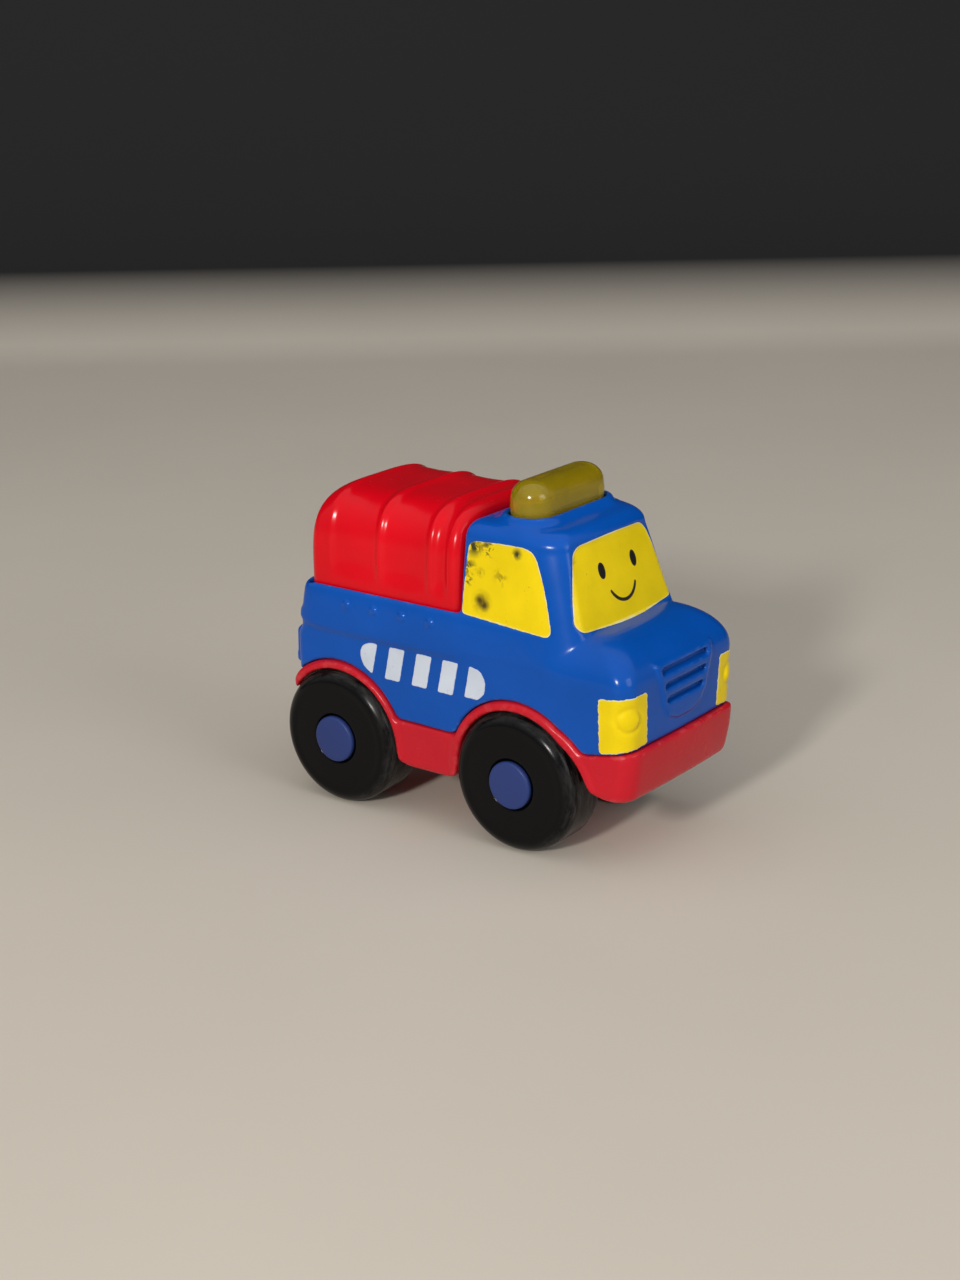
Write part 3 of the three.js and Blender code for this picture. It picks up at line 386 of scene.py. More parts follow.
FRONT_AXLE_X, _, AXLE_Z = node_middle("front_axle")
REAR_AXLE_X, _, _ = node_middle("rear_axle")
BEACON_X, _, _ = node_middle("beacon_button")
WHEEL_RADIUS = AXLE_Z
BACK_X, FRONT_X, BUMPER_X = -50.0, 50.6, 51.5
SCREEN_X, CAB_BACK_X, RAIL_BACK_X, BED_BACK_X = 36.0, 2.3, -45.8, -44.6
FLOOR_Z, BUMPER_FOOT_Z, SILL_Z, BUMPER_TOP_Z = 13.0, 17.5, 24.8, 30.3
WAIST_Z, BED_Z, BONNET_Z, RAIL_Z, ROOF_EDGE_Z, ROOF_Z = 44.6, 48.0, 54.8, 55.6, 72.6, 77.0
BODY_HALF, COVER_HALF, CAB_HALF = 23.4, 21.4, 22.2
REAR_CORNER, FRONT_CORNER, FRONT_BULGE = 3.0, 4.6, 0.3  # of the car's outline seen from above
WALL, DRAFT = 2.0, 0.035  # the thickness of the moulding, and how far it leans in for each mm down
ARCH_RADIUS, BAND_RADIUS = 17.3, 19.7  # of the wheel openings, and of the red band round them
REAR_BAND_BACK, REAR_BAND_SMALLER = 0.4, 0.3  # how the band of the rear arch differs
BAND_FLARE_X, BAND_FLARE_Z = 3.6, -2.2  # from the axle to the middle of the band's second circle
BUMPER_SLOPE, PARTING_FILLET = 0.2, 1.4


def from_axle(x, z):
    return np.hypot(np.minimum(np.abs(x - REAR_AXLE_X), np.abs(x - FRONT_AXLE_X)), z - AXLE_Z)


def from_arch(x, z):
    """Distance to the middle of an arch's band. The rear band is a little smaller and further back,
    and the front one is two circles, so that its front leg flares forward."""
    rear = np.hypot(x - REAR_AXLE_X + REAR_BAND_BACK, z - AXLE_Z) + REAR_BAND_SMALLER
    front = np.hypot(x - FRONT_AXLE_X, z - AXLE_Z)
    flare = np.hypot(x - FRONT_AXLE_X - BAND_FLARE_X, z - AXLE_Z - BAND_FLARE_Z)
    return np.minimum(rear, np.minimum(front, flare))


def red_side(x, z):
    """Below zero where the side of the car is red."""
    level = np.where(x > FRONT_AXLE_X, BUMPER_TOP_Z - BUMPER_SLOPE * (FRONT_X - x), SILL_Z)
    return join(from_arch(x, z) - BAND_RADIUS, z - level, PARTING_FILLET)


print("wheelbase in mm:", round(FRONT_AXLE_X - REAR_AXLE_X, 1))
print("arch band in mm:", round(BAND_RADIUS - ARCH_RADIUS, 1))

# %% [markdown]
# Blue body, main forms. The lower body is an outline seen from above that changes with height: it
# leans in below the waist, steps out over it, and rolls back into the bonnet. The cab is a second
# one that leans in to the roof. A rail rounds off the load bed behind it.

# %% Body, main forms
BONNET_CROWN, SIDE_LEAN = 11.0, 1.2  # how far the side rolls in above the waist, ahead and behind
BONNET_BLEND = (20, 34)  # from one to the other, along the car
WAIST_STEP, STEP_FADE = 0.4, (-16, 10)  # the step out at the waist, and where it fades, along the car
WAIST_RISE, WAIST_CLIMB = 1.6, (37.2, 46.2)  # how far the waist rises, and where, behind the middle
BACK_RAKE = 0.07  # how far the back leans forward for each mm up
BACK_STEPS = [(1.2, 41, 44), (0.6, 47.4, 49.4)]  # steps in the back: how deep, between which heights
CAB_LEAN, SCREEN_LEAN, ROOF_ROLL = 2.5, 5.6, 4.6
CAB_REAR_CORNER, CAB_FRONT_CORNER, CAB_BULGE = 1.6, 4.8, 0.9
CAB_CORNER_POWER, CAB_CORNER_STRETCH = 1.8, 2.2
RAIL_BULGE, RAIL_CROWN, RAIL_CORNER, RAIL_EDGE = 0.25, 1.1, 4.0, 1.2
RAIL_SINK, SINK_START, SINK_END, RAIL_END = 3.4, CAB_BACK_X - 2, CAB_BACK_X + 12, CAB_BACK_X + 15
RAIL_BACK_ROLL, RAIL_ROLL_HEIGHTS = 0.4, (49, 54)


def lower_body(x, y, z):
    rise = np.clip((z - WAIST_Z) / (BONNET_Z - WAIST_Z), 0, 0.999)
    roll = quarter_round(rise)
    waist = WAIST_Z + WAIST_RISE * ease(-x, *WAIST_CLIMB)
    step = WAIST_STEP * (1 - ease(x, *STEP_FADE))
    under = step * (1 - ease(z, waist - 1.5, waist + 0.1)) + DRAFT * np.maximum(WAIST_Z - z, 0)
    rear = BACK_X + BACK_RAKE * (z - SILL_Z) + under
    rear = rear + sum(depth * ease(z, low, high) for depth, low, high in BACK_STEPS)
    front = FRONT_X - under - roll * (FRONT_X - SCREEN_X)
    lean = SIDE_LEAN * rise**2
    shoulder = lean + (BONNET_CROWN * roll - lean) * ease(x, *BONNET_BLEND)
    return plan(x, y, rear, front, BODY_HALF - under - shoulder, REAR_CORNER, FRONT_CORNER, FRONT_BULGE)


def cab_form(x, y, z):
    lean = np.minimum((z - BONNET_Z) / (ROOF_EDGE_Z - BONNET_Z), 1)
    roll = ROOF_ROLL * quarter_round(np.clip((z - ROOF_EDGE_Z) / (ROOF_Z - ROOF_EDGE_Z), 0, 0.999))
    rear, front = CAB_BACK_X + roll / 2, SCREEN_X - SCREEN_LEAN * lean - roll
    return plan(x, y, rear, front, CAB_HALF - CAB_LEAN * lean - roll, CAB_REAR_CORNER, CAB_FRONT_CORNER,
                CAB_BULGE, CAB_CORNER_POWER, CAB_CORNER_STRETCH)


def bed_rail(x, y, z):
    """A band with a crowned face round the bed, which sinks into the side of the cab."""
    middle, reach = (RAIL_Z + WAIST_Z) / 2, (RAIL_Z - WAIST_Z) / 2
    crown = RAIL_BULGE - RAIL_CROWN * np.maximum((z - WAIST_Z) / (2 * reach), 0) ** 2
    half = BODY_HALF + crown - RAIL_SINK * ease(x, SINK_START, SINK_END)
    back = RAIL_BACK_X + RAIL_BACK_ROLL * ease(z, *RAIL_ROLL_HEIGHTS)
    ring = plan(x, y, back, RAIL_END, half, RAIL_CORNER, RAIL_CORNER)
    return keep(ring, np.abs(z - middle) - reach, RAIL_EDGE)


PITCH = 0.4  # of the grid
BODY_LOW, BODY_HIGH = (-51.2, 0.0, 22.0), (52.0, 25.2, 79.6)
BONNET_EDGE, ROOF_EDGE, RAIL_FILLET, CAB_FILLET = 1.5, 1.2, 1.0, 0.5
x, y, z = grid_axes(BODY_LOW, BODY_HIGH, PITCH)
lower = even(keep(lower_body(x, y, z), z - BONNET_Z, BONNET_EDGE), PITCH)
cab_sides = np.maximum(cab_form(x, y, z), BED_Z - WALL - z)
cab = even(keep(cab_sides, z - ROOF_Z, ROOF_EDGE), PITCH)
body = join(join(lower, bed_rail(x, y, z), RAIL_FILLET), cab, CAB_FILLET)
print("body grid:", body.shape)

# %% [markdown]
# Blue body, the front. Each feature follows the skin that it sits on by using that skin's own
# distance: the grille is the skin raised by a fraction of a millimetre inside a shield outline,
# and a slot is cut to a depth below it. The glass of a headlamp is the tip of a ball that looks
# out of the corner, with a groove round it.

# %% Body, grille and headlamps
GRILLE_HALF = [(12, 48.6), (8.8, 38.0), (6.6, 35.0), (3, 33.8)]  # across and up, from the top corner
GRILLE = GRILLE_HALF + [(-across, up) for across, up in reversed(GRILLE_HALF)]
GRILLE_PROUD, GRILLE_EDGE, GRILLE_FILLET = 0.7, 0.6, 0.5
SLOT_COUNT, SLOT_TOP, SLOT_PITCH, SLOT_DEPTH, SLOT_EDGE = 3, 46.4, 3.6, 0.9, 0.5
SLOT_HALF, SLOT_SHORTER, SLOT_HALF_HEIGHT, SLOT_CORNER = 9.7, 1.05, 0.75, 0.7
LAMP, LAMP_TURN = (49.3, 20.8, 37.9), math.radians(32)
LAMP_RADIUS, LAMP_BACK, LAMP_FILLET = 3.0, -4, 0.4
BALL_BACK, BALL_RADIUS = 6.5, 6.85
GROOVE_RADIUS, GROOVE_HALF, GROOVE_EDGE = 2.9, 0.4, 0.3
FAR_OFF = 9  # a distance that no lamp reaches

behind_screen = SCREEN_X - x
shield = np.maximum(polygon(y, z, GRILLE), behind_screen)
body = join(body, keep(shield, lower - GRILLE_PROUD, GRILLE_EDGE), GRILLE_FILLET)
for row in range(SLOT_COUNT):
    up = z - (SLOT_TOP - SLOT_PITCH * row)
    slot = bar(y, up, SLOT_HALF - SLOT_SHORTER * row, SLOT_HALF_HEIGHT, SLOT_CORNER)
    slot = np.maximum(slot, behind_screen)
    body = cut(body, np.maximum(slot, -lower - SLOT_DEPTH), SLOT_EDGE)

along, across, up = x - LAMP[0], y - LAMP[1], z - LAMP[2]
forward = along * math.cos(LAMP_TURN) + across * math.sin(LAMP_TURN)
from_lamp = np.sqrt(np.maximum(along**2 + across**2 + up**2 - forward**2, 0))
from_lamp = np.where(forward > LAMP_BACK, from_lamp, FAR_OFF)
glass = np.sqrt(from_lamp**2 + (forward + BALL_BACK) ** 2) - BALL_RADIUS
body = join(body, np.maximum(from_lamp - LAMP_RADIUS, glass), LAMP_FILLET)
body = cut(body, np.hypot(from_lamp - GROOVE_RADIUS, body) - GROOVE_HALF, GROOVE_EDGE)
print("slots in the grille:", SLOT_COUNT)

# %% [markdown]
# Blue body, the sides and the back. Four rivets stand on the rail of each side, and a thick plain
# panel crosses the back, leaning with it. Both could be objects of their own, but on the toy they
# are one moulding with the body, so they are joined to its field with a small fillet.

# %% Body, rivets and tail panel
RIVETS_X, RIVET_Y, RIVET_Z = (-30.7, -22.3, -13.7, -5.2), BODY_HALF - 0.4, 51.6
RIVET_RADIUS, RIVET_FILLET = 1.2, 0.4
TAIL_X, TAIL_Z, TAIL_RAKE = BACK_X - 0.3, 37.2, 0.06
TAIL_HALF, TAIL_HALF_HEIGHT, TAIL_HALF_THICK = 20.0, 4.8, 1.5
TAIL_CORNER, TAIL_FILLET = 1.4, 0.7

for rivet_x in RIVETS_X:
    face = ((x - rivet_x) ** 2 + (z - RIVET_Z) ** 2) / RIVET_RADIUS**2
    rivet = np.sqrt(face + (y - RIVET_Y) ** 2) - 1
    body = join(body, rivet, RIVET_FILLET)
tail_middle = TAIL_X + TAIL_RAKE * (z - TAIL_Z) + TAIL_HALF_THICK
tail_face = bar(y, z - TAIL_Z, TAIL_HALF, TAIL_HALF_HEIGHT, TAIL_CORNER)
tail = np.maximum(tail_face, np.abs(x - tail_middle) - TAIL_HALF_THICK)
body = join(body, tail, TAIL_FILLET)
print("rivets on each side:", len(RIVETS_X))

# %% [markdown]
# The windows are shallow panes in the skin, later painted. Their outlines are drawn once, as a few
# corners with a curve at each, and used twice: here to press the pane in, and below to cut the film
# of paint.

# %% Body, windows
def rounded(corners, steps=9):
    """A closed outline through these corners, each with the reach of the curve that turns it."""
    spots = [Vector(corner[:2]) for corner in corners]
    points = []
    for i, corner in enumerate(spots):
        reach = corners[i][2]
        before = (spots[i - 1] - corner).normalized() * reach + corner
        after = (spots[(i + 1) % len(spots)] - corner).normalized() * reach + corner
        for t in np.linspace(0, 1, steps):
            points.append(tuple(before * (1 - t) ** 2 + corner * 2 * t * (1 - t) + after * t * t))
    return points


SIDE_WINDOW = rounded([
    (3.1, 55.3, 1.5), (16.0, 54.4, 4), (28.8, 53.6, 2.2), (25.9, 64.4, 6),
    (22.1, 73.0, 3.2), (13.1, 73.0, 4), (4.2, 72.4, 2.2), (3.5, 64.3, 5.5),
])
SCREEN = rounded([
    (-19.4, 55.0, 3.0), (0, 54.3, 9), (19.4, 55.0, 3.0), (17.4, 64.5, 5.5),
    (14.2, 73.2, 3.0), (0, 73.9, 8), (-14.2, 73.2, 3.0), (-17.4, 64.5, 5.5),
])
PANE_DEPTH, PANE_EDGE = 0.3, 0.35
SIDE_PANE_Y, SCREEN_PANE_X = 12, 24  # the panes are pressed in further out than this

side_pane = np.maximum(polygon(x, z, SIDE_WINDOW), SIDE_PANE_Y - y)
screen_pane = np.maximum(polygon(y, z, SCREEN), SCREEN_PANE_X - x)
for pane in (side_pane, screen_pane):
    body = cut(body, np.maximum(pane, -cab - PANE_DEPTH), PANE_EDGE)
print("window outline points:", len(SIDE_WINDOW), len(SCREEN))

# %% [markdown]
# Then the body is opened: the bed that the cover stands in, the seat of the beacon with the collar
# round it, and the hollow inside. A Solidify modifier could hollow a skin, but here the inside is
# the same field, a wall's thickness further in. The parting line trims the lower edge.

# %% Body, bed, beacon seat and hollow
BED_GAP, BED_REAR_CORNER, BED_FRONT_CORNER, BED_EDGE = 0.3, 2.0, 0.6, 0.9
BEACON_STRAIGHT, BEACON_ROUND = 9.5, 5.5  # half the straight part, and the round of its ends
COLLAR_WIDTH, COLLAR_HEIGHT, COLLAR_EDGE, COLLAR_ROOT, COLLAR_FILLET = 1.6, 1.6, 1.2, 2, 3.0
BEACON_GAP, BEACON_SEAT_Z, BEACON_SEAT_EDGE = 0.3, 68, 0.4
PARTING_GAP, PARTING_EDGE = 0.15, 0.5

bed_plan = plan(x, y, BED_BACK_X, CAB_BACK_X, COVER_HALF + BED_GAP, BED_REAR_CORNER, BED_FRONT_CORNER)
body = cut(body, np.maximum(bed_plan, BED_Z - z), BED_EDGE)
beacon_plan = np.hypot(x - BEACON_X, np.maximum(y - BEACON_STRAIGHT, 0)) - BEACON_ROUND
collar = keep(beacon_plan - COLLAR_WIDTH, z - ROOF_Z - COLLAR_HEIGHT, COLLAR_EDGE)
collar = np.maximum(collar, ROOF_Z - COLLAR_ROOT - z)
beacon_seat = np.maximum(beacon_plan - BEACON_GAP, BEACON_SEAT_Z - z)
body = cut(join(body, collar, COLLAR_FILLET), beacon_seat, BEACON_SEAT_EDGE)
below_bed = np.minimum(CAB_BACK_X + WALL - x, z - BED_Z + WALL)
inside = np.minimum(np.maximum(lower + WALL, below_bed), cab + WALL)
body = np.maximum(body, -inside)
body = cut(body, red_side(x, z) - PARTING_GAP, PARTING_EDGE)
print("deepest point:", round(float(-body.min()), 2), "mm inside the skin")

# %% [markdown]
# A toy wears pale on its outer edges, and its corners are darker: partly dirt, partly painted shade where
# less light reaches. A material can't easily tell the two apart, so every mesh carries a number for how
# sharply its skin bends at each vertex: the vertex is compared with the mean of its neighbours. It is above
# zero on edges and below in corners.

# %% How the skin bends
def mark_bends(mesh, rounds=4):
    count = len(mesh.vertices)
    places, normals = np.empty(count * 3, np.float32), np.empty(count * 3, np.float32)
    mesh.vertices.foreach_get("co", places)
    mesh.vertex_normals.foreach_get("vector", normals)
    ends = np.empty(len(mesh.edges) * 2, np.int32)
    mesh.edges.foreach_get("vertices", ends)
    places, normals, ends = places.reshape(-1, 3), normals.reshape(-1, 3), ends.reshape(-1, 2)
    starts, stops = np.concatenate((ends, ends[:, ::-1])).T
    neighbours = np.maximum(np.bincount(starts, minlength=count), 1)

    def around(values):
        """The mean at each vertex of values that belong to its edges."""
        return np.bincount(starts, weights=values, minlength=count) / neighbours

    mean = np.stack([around(places[stops, axis]) for axis in range(3)], axis=1)
    step = np.sqrt(around(((places[starts] - places[stops]) ** 2).sum(1)))
    bend = ((places - mean) * normals).sum(1) / np.maximum(step, 1e-7) ** 2 * MM
    for _ in range(rounds):
        bend = 0.5 * bend + 0.5 * around(bend[stops])
    mesh.attributes.new("bend", "FLOAT", "POINT").data.foreach_set("value", bend.astype(np.float32))


def finished(name, mesh, smooth=0):
    """An object of this mesh, with its normals outwards, smoothed and marked for wear."""
    shape = bmesh.new()
    shape.from_mesh(mesh)
    if shape.calc_volume(signed=True) < 0:
        bmesh.ops.reverse_faces(shape, faces=shape.faces)
    for _ in range(smooth):
        bmesh.ops.smooth_vert(shape, verts=shape.verts, factor=0.5,
                              use_axis_x=True, use_axis_y=True, use_axis_z=True)
    shape.to_mesh(mesh)
    shape.free()
    mesh.shade_smooth()
    mark_bends(mesh)
    return into_scene(name, mesh)


print("bend helpers ready")

# %% [markdown]
# The field becomes a mesh. The left half is mirrored, handed to OpenVDB as a grid of distances,
# and skinned with quads. A few rounds of smoothing take off the last trace of the grid. A Smooth
# modifier would do the same, but the bends are measured on the mesh, so it is smoothed for good.

# %% From field to mesh
FIELD_REACH = 4.0  # distances beyond this are of no use to the skin
SMOOTH_ROUNDS = 3


def skin(name, field, low, pitch):
    whole = np.concatenate((field[:, :0:-1], field), axis=1).astype(np.float32)
    grid = openvdb.FloatGrid(FIELD_REACH)
    grid.copyFromArray(np.clip(whole, -FIELD_REACH, FIELD_REACH))
    points, triangles, quads = grid.convertToPolygons(0.0, 0.0)
    start = np.array((low[0], -pitch * (field.shape[1] - 1), low[2]))
    faces = [*map(tuple, triangles.tolist()), *map(tuple, quads.tolist())]
    mesh = bpy.data.meshes.new(name)
    mesh.from_pydata(((points * pitch + start) * MM).tolist(), [], faces)
    mesh.update()
    return finished(name, mesh, SMOOTH_ROUNDS)


body_shell = skin("blue_body_shell", body, BODY_LOW, PITCH)
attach(body_shell, "body")
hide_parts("body_shell")
print("body faces:", len(body_shell.data.polygons))

# %% [markdown]
# The blue is a glossy toy plastic that has been played with. Under the gloss the colour is never quite
# even, so a slow noise shifts it. Fine scratches, made from noise stretched along the car, dull the gloss a
# little. The corners are painted darker, partly as dirt and partly as painted shade, and the outer edges
# are rubbed pale, both read from the bend that was marked on the mesh.

# %% Worn plastics
def worn_plastic(name, colour, roughness, pale, dirt_and_shade, rub=0.5, grime_and_shade=0.5, shine=0.22):
    """pale colours the rubbed edges, and the colour after it darkens the corners, as dirt and as painted
    shade. rub and the number after rub say how strong each is.
    """
    material, tree, shader, place = plastic(name, colour, roughness, Specular_IOR_Level=shine)
    bend = marked(tree, "bend")
    cloud = blotches(tree, place, 34, 4, 0.32, 0.68)
    base = tint(tree, cloud, shade(colour, 0.9), shade(colour, 1.1))
    # Darker in concave corners: dirt, and painted shade where less light reaches.
    corners = times(tree, spread(tree, bend, -0.08, -0.3), blotches(tree, place, 7, 4, 0.3, 0.7))
    base = tint(tree, times(tree, corners, grime_and_shade), base, dirt_and_shade)
    edges = times(tree, spread(tree, bend, 0.1, 0.32), blotches(tree, place, 2.6, 5, 0.5, 0.68))
    base = tint(tree, times(tree, edges, rub), base, pale)
    tree.links.new(base, shader.inputs["Base Color"])

    stretch = add_node(tree, "Mapping", Vector=place, Scale=(0.16, 1, 1), Rotation=(0.1, 0.35, 0.2))
    scratches = blotches(tree, stretch.outputs["Vector"], 0.35, 2, 0.66, 0.78)
    patches = blotches(tree, place, 16, 3, 0.42, 0.66)
    dull = times(tree, times(tree, scratches, patches), 0.16)
    dull = plus(tree, dull, times(tree, patches, 0.05))
    dull = plus(tree, dull, times(tree, edges, 0.12))
    tree.links.new(plus(tree, dull, roughness), shader.inputs["Roughness"])
    ripple = plus(tree, noise(tree, place, 11, 1), times(tree, scratches, -0.012))
    roughen(tree, shader, ripple, 0.05)
    return material


blue_plastic = worn_plastic("blue_plastic", (0.001, 0.075, 0.40), 0.17,
                            pale=(0.07, 0.20, 0.56), dirt_and_shade=(0.002, 0.02, 0.10), rub=0.45)
body_shell.data.materials.append(blue_plastic)
print("blue nodes:", len(blue_plastic.node_tree.nodes))

# %% [markdown]
# Red chassis: one moulding with the bumpers, sills and arches. It is a field too. Its arches end
# in a rolled bead, made as a ring along the edge of each opening and blended in, and the wells,
# axle holes and screw seats are cut last so that their edges stay crisp.

# %% Chassis
CHASSIS_LOW, CHASSIS_HIGH = (-51.6, 0.0, 11.6), (53.6, 26.0, 40.0)
FRONT_LIFT_X, FRONT_LIFT_RUN, REAR_LIFT_X, REAR_LIFT_RUN = 32.4, 8, -44.4, 4  # where the floor rises
FLOOR_SLOPE = 0.88  # makes a height above the rising floor a distance to it
FLARE_X, FLARE_Z = 3.4, -2.6  # from the front axle to the middle of the opening's second circle
CHASSIS_PROUD, BUMPER_TUCK = 0.15, 2.0  # how far it stands out of the body, and tucks under
BEAD_RADIUS, BEAD_INSET, BEAD_PROUD, BEAD_EDGE, BEAD_FILLET = 1.0, 0.45, 0.7, 0.6, 0.9
FLOOR_EDGE, TOP_EDGE, WELL_FLOOR, WELL_Y, WELL_EDGE = 1.8, 1.0, 5.0, 11.0, 0.5
BEARING_RADIUS, BEARING_Y, BEARING_HALF, BEARING_FILLET = 4.2, 9.0, 2.5, 0.4
AXLE_HOLE, AXLE_HOLE_EDGE = 1.9, 0.2
SCREWS = [(42.6, 11.0, 18.0), (-42.4, 4.5, FLOOR_Z)]  # along, across, and the floor's height there
SCREW_SEAT_RADIUS, SCREW_SEAT_DEPTH, SCREW_SEAT_EDGE = 2.85, 3.3, 0.3


def floor_line(x):
    """The floor's height, which rises to the foot of each bumper."""
    lift = np.maximum((x - FRONT_LIFT_X) / FRONT_LIFT_RUN, (REAR_LIFT_X - x) / REAR_LIFT_RUN)
    return FLOOR_Z + (BUMPER_FOOT_Z - FLOOR_Z) * np.clip(lift, 0, 1)


def opening(x, z):
    """Distance to the edge of the nearer wheel's opening. The front one flares forward as well."""
    flare = np.hypot(x - FRONT_AXLE_X - FLARE_X, z - AXLE_Z - FLARE_Z)
    return np.minimum(from_axle(x, z), flare) - ARCH_RADIUS


def chassis_form(x, y, z):
    drop = DRAFT * np.maximum(WAIST_Z - z, 0)
    half = BODY_HALF + CHASSIS_PROUD - drop
    tuck = BUMPER_TUCK * np.clip((BUMPER_TOP_Z - z) / (BUMPER_TOP_Z - BUMPER_FOOT_Z), 0, 1) ** 2
    form = plan(x, y, BACK_X + drop, BUMPER_X - tuck, half, REAR_CORNER, FRONT_CORNER, FRONT_BULGE)
    bead = np.hypot(opening(x, z) - BEAD_RADIUS, y - half + BEAD_INSET) - BEAD_RADIUS
    return join(form, keep(bead, form - BEAD_PROUD, BEAD_EDGE), BEAD_FILLET)


x, y, z = grid_axes(CHASSIS_LOW, CHASSIS_HIGH, PITCH)
round_axle, above_floor = from_axle(x, z), (z - floor_line(x)) * FLOOR_SLOPE
chassis = keep(chassis_form(x, y, z), -above_floor, FLOOR_EDGE)
chassis = keep(chassis, red_side(x, z), TOP_EDGE)
well = np.maximum(join(opening(x, z), above_floor, WELL_FLOOR), WELL_Y - y)
chassis = cut(chassis, well, WELL_EDGE)
bearing = np.maximum(round_axle - BEARING_RADIUS, np.abs(y - BEARING_Y) - BEARING_HALF)
chassis = cut(join(chassis, bearing, BEARING_FILLET), round_axle - AXLE_HOLE, AXLE_HOLE_EDGE)
for screw_x, screw_y, level in SCREWS:
    screw_seat = np.hypot(x - screw_x, y - screw_y) - SCREW_SEAT_RADIUS
    chassis = cut(chassis, np.maximum(screw_seat, z - level - SCREW_SEAT_DEPTH), SCREW_SEAT_EDGE)
red_chassis = skin("red_chassis", chassis, CHASSIS_LOW, PITCH)
red_chassis.data.materials.append(worn_plastic(
    "chassis_red_plastic", (0.52, 0.009, 0.020), 0.24,
    pale=(0.72, 0.16, 0.15), dirt_and_shade=(0.10, 0.004, 0.006), rub=0.4, grime_and_shade=0.6))
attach(red_chassis, "body")
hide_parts("chassis")
print("chassis faces:", len(red_chassis.data.polygons))

# %% [markdown]
# The load cover copies canvas drawn over hoops. It is one continuous sheet, so it is lofted: a
# section across the car, swept along it. Between the hoops the section draws in by a millimetre,
# so that each hoop stands out as a rib, and at both ends it rounds off. Enough sections make it
# smooth without a subdivision.

# %% Load cover
COVER_BACK, COVER_FRONT, COVER_FOOT, COVER_TOP = -44.3, 2.0, 48.3, 79.0
HOOPS = (-37.5, -22.0, -6.7, -0.9)
RIB_HEIGHT, RIB_WIDTH, CANVAS_SAG = 0.8, 1.2, 0.3
SQUARENESS = 4.2  # of the section: two is an ellipse, and a large number a box
BACK_SIDE_ROLL, FRONT_SIDE_ROLL = (3.4, 3.4), (2.6, 2.6)  # round ends: how long, and how far in
BACK_TOP_ROLL, FRONT_TOP_ROLL = (9.0, 7.5), (3.0, 3.0)
BACK_PART, FRONT_PART = 0.2, 0.93  # where along the cover the sections come closer for its ends


def rolled(from_end, length, drop):
    """How far a rounded end has fallen away, at a distance from the end."""
    return drop * quarter_round(max(1 - from_end / length, 0))


def sag_between_hoops(x):
    for rear, ahead in zip(HOOPS, HOOPS[1:]):
        if rear < x < ahead:
            off = min(x - rear, ahead - x)
            beside_rib = RIB_HEIGHT * (1 - math.exp(-((off / RIB_WIDTH) ** 2)))
            return beside_rib + CANVAS_SAG * math.sin(math.pi * (x - rear) / (ahead - rear)) ** 2
    return 0.0


def cover_section(x):
    """The cover cut across at this place along the car, from the left foot over to the right one."""
    sag, from_back, from_front = sag_between_hoops(x), x - COVER_BACK, COVER_FRONT - x
    half = COVER_HALF - rolled(from_back, *BACK_SIDE_ROLL) - rolled(from_front, *FRONT_SIDE_ROLL)
    rise = COVER_TOP - RAIL_Z - rolled(from_back, *BACK_TOP_ROLL) - rolled(from_front, *FRONT_TOP_ROLL)
    side = [(half, h) for h in np.linspace(COVER_FOOT, RAIL_Z, 6)]
    for t in np.linspace(0, 1, 56)[1:]:
        turn = math.pi / 2 * ease(t, 0, 1)
        across, up = math.cos(turn) ** (2 / SQUARENESS), math.sin(turn) ** (2 / SQUARENESS)
        inward = Vector((across ** (SQUARENESS - 1) / half, up ** (SQUARENESS - 1) / rise)).normalized()
        dip = sag * ease(up, 0.02, 0.3) * (1 - 0.4 * ease(turn, 0.8, 1.4))
        side.append((half * across - dip * inward.x, RAIL_Z + rise * up - dip * inward.y))
    return side + [(-across, h) for across, h in side[-2::-1]]


def loft(shape, rings):
    """Joins closed rings of points, given in millimetres, and closes both ends."""
    rows = [[shape.verts.new((x * MM, y * MM, z * MM)) for x, y, z in ring] for ring in rings]
    bridge(shape, rows)
    shape.faces.new(rows[0][::-1])
    shape.faces.new(rows[-1])


shares = np.concatenate((
    BACK_PART * (1 - np.cos(np.linspace(0, math.pi / 2, 40)))[:-1],
    np.linspace(BACK_PART, FRONT_PART, 180)[:-1],
    FRONT_PART + (1 - FRONT_PART) * np.sin(np.linspace(0, math.pi / 2, 18)),
))
stops = COVER_BACK + (COVER_FRONT - COVER_BACK) * shares
cover = bmesh.new()
loft(cover, [[(stop, across, h) for across, h in cover_section(stop)] for stop in stops])
bmesh.ops.recalc_face_normals(cover, faces=cover.faces)
load_cover = finished("red_load_cover", mesh_of("red_load_cover", cover))
load_cover.data.materials.append(worn_plastic(
    "cover_red_plastic", (0.64, 0.001, 0.008), 0.19,
    pale=(0.8, 0.12, 0.12), dirt_and_shade=(0.16, 0.0, 0.004), rub=0.15, grime_and_shade=0.3))
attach(load_cover, "body")
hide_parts("canopy_cover")
print("cover sections:", len(stops))

# %% [markdown]
# Wheels and hub caps are turned parts, so each is one profile spun round its axle. A cylinder with
# bevels would look machined; the profile has the wheel's big soft shoulder, the slight crown of
# its face, and the rolled edge of the seat that the cap sits in. The tread is marked as the
# profile is drawn, because that is where the black is scuffed grey by the floor.

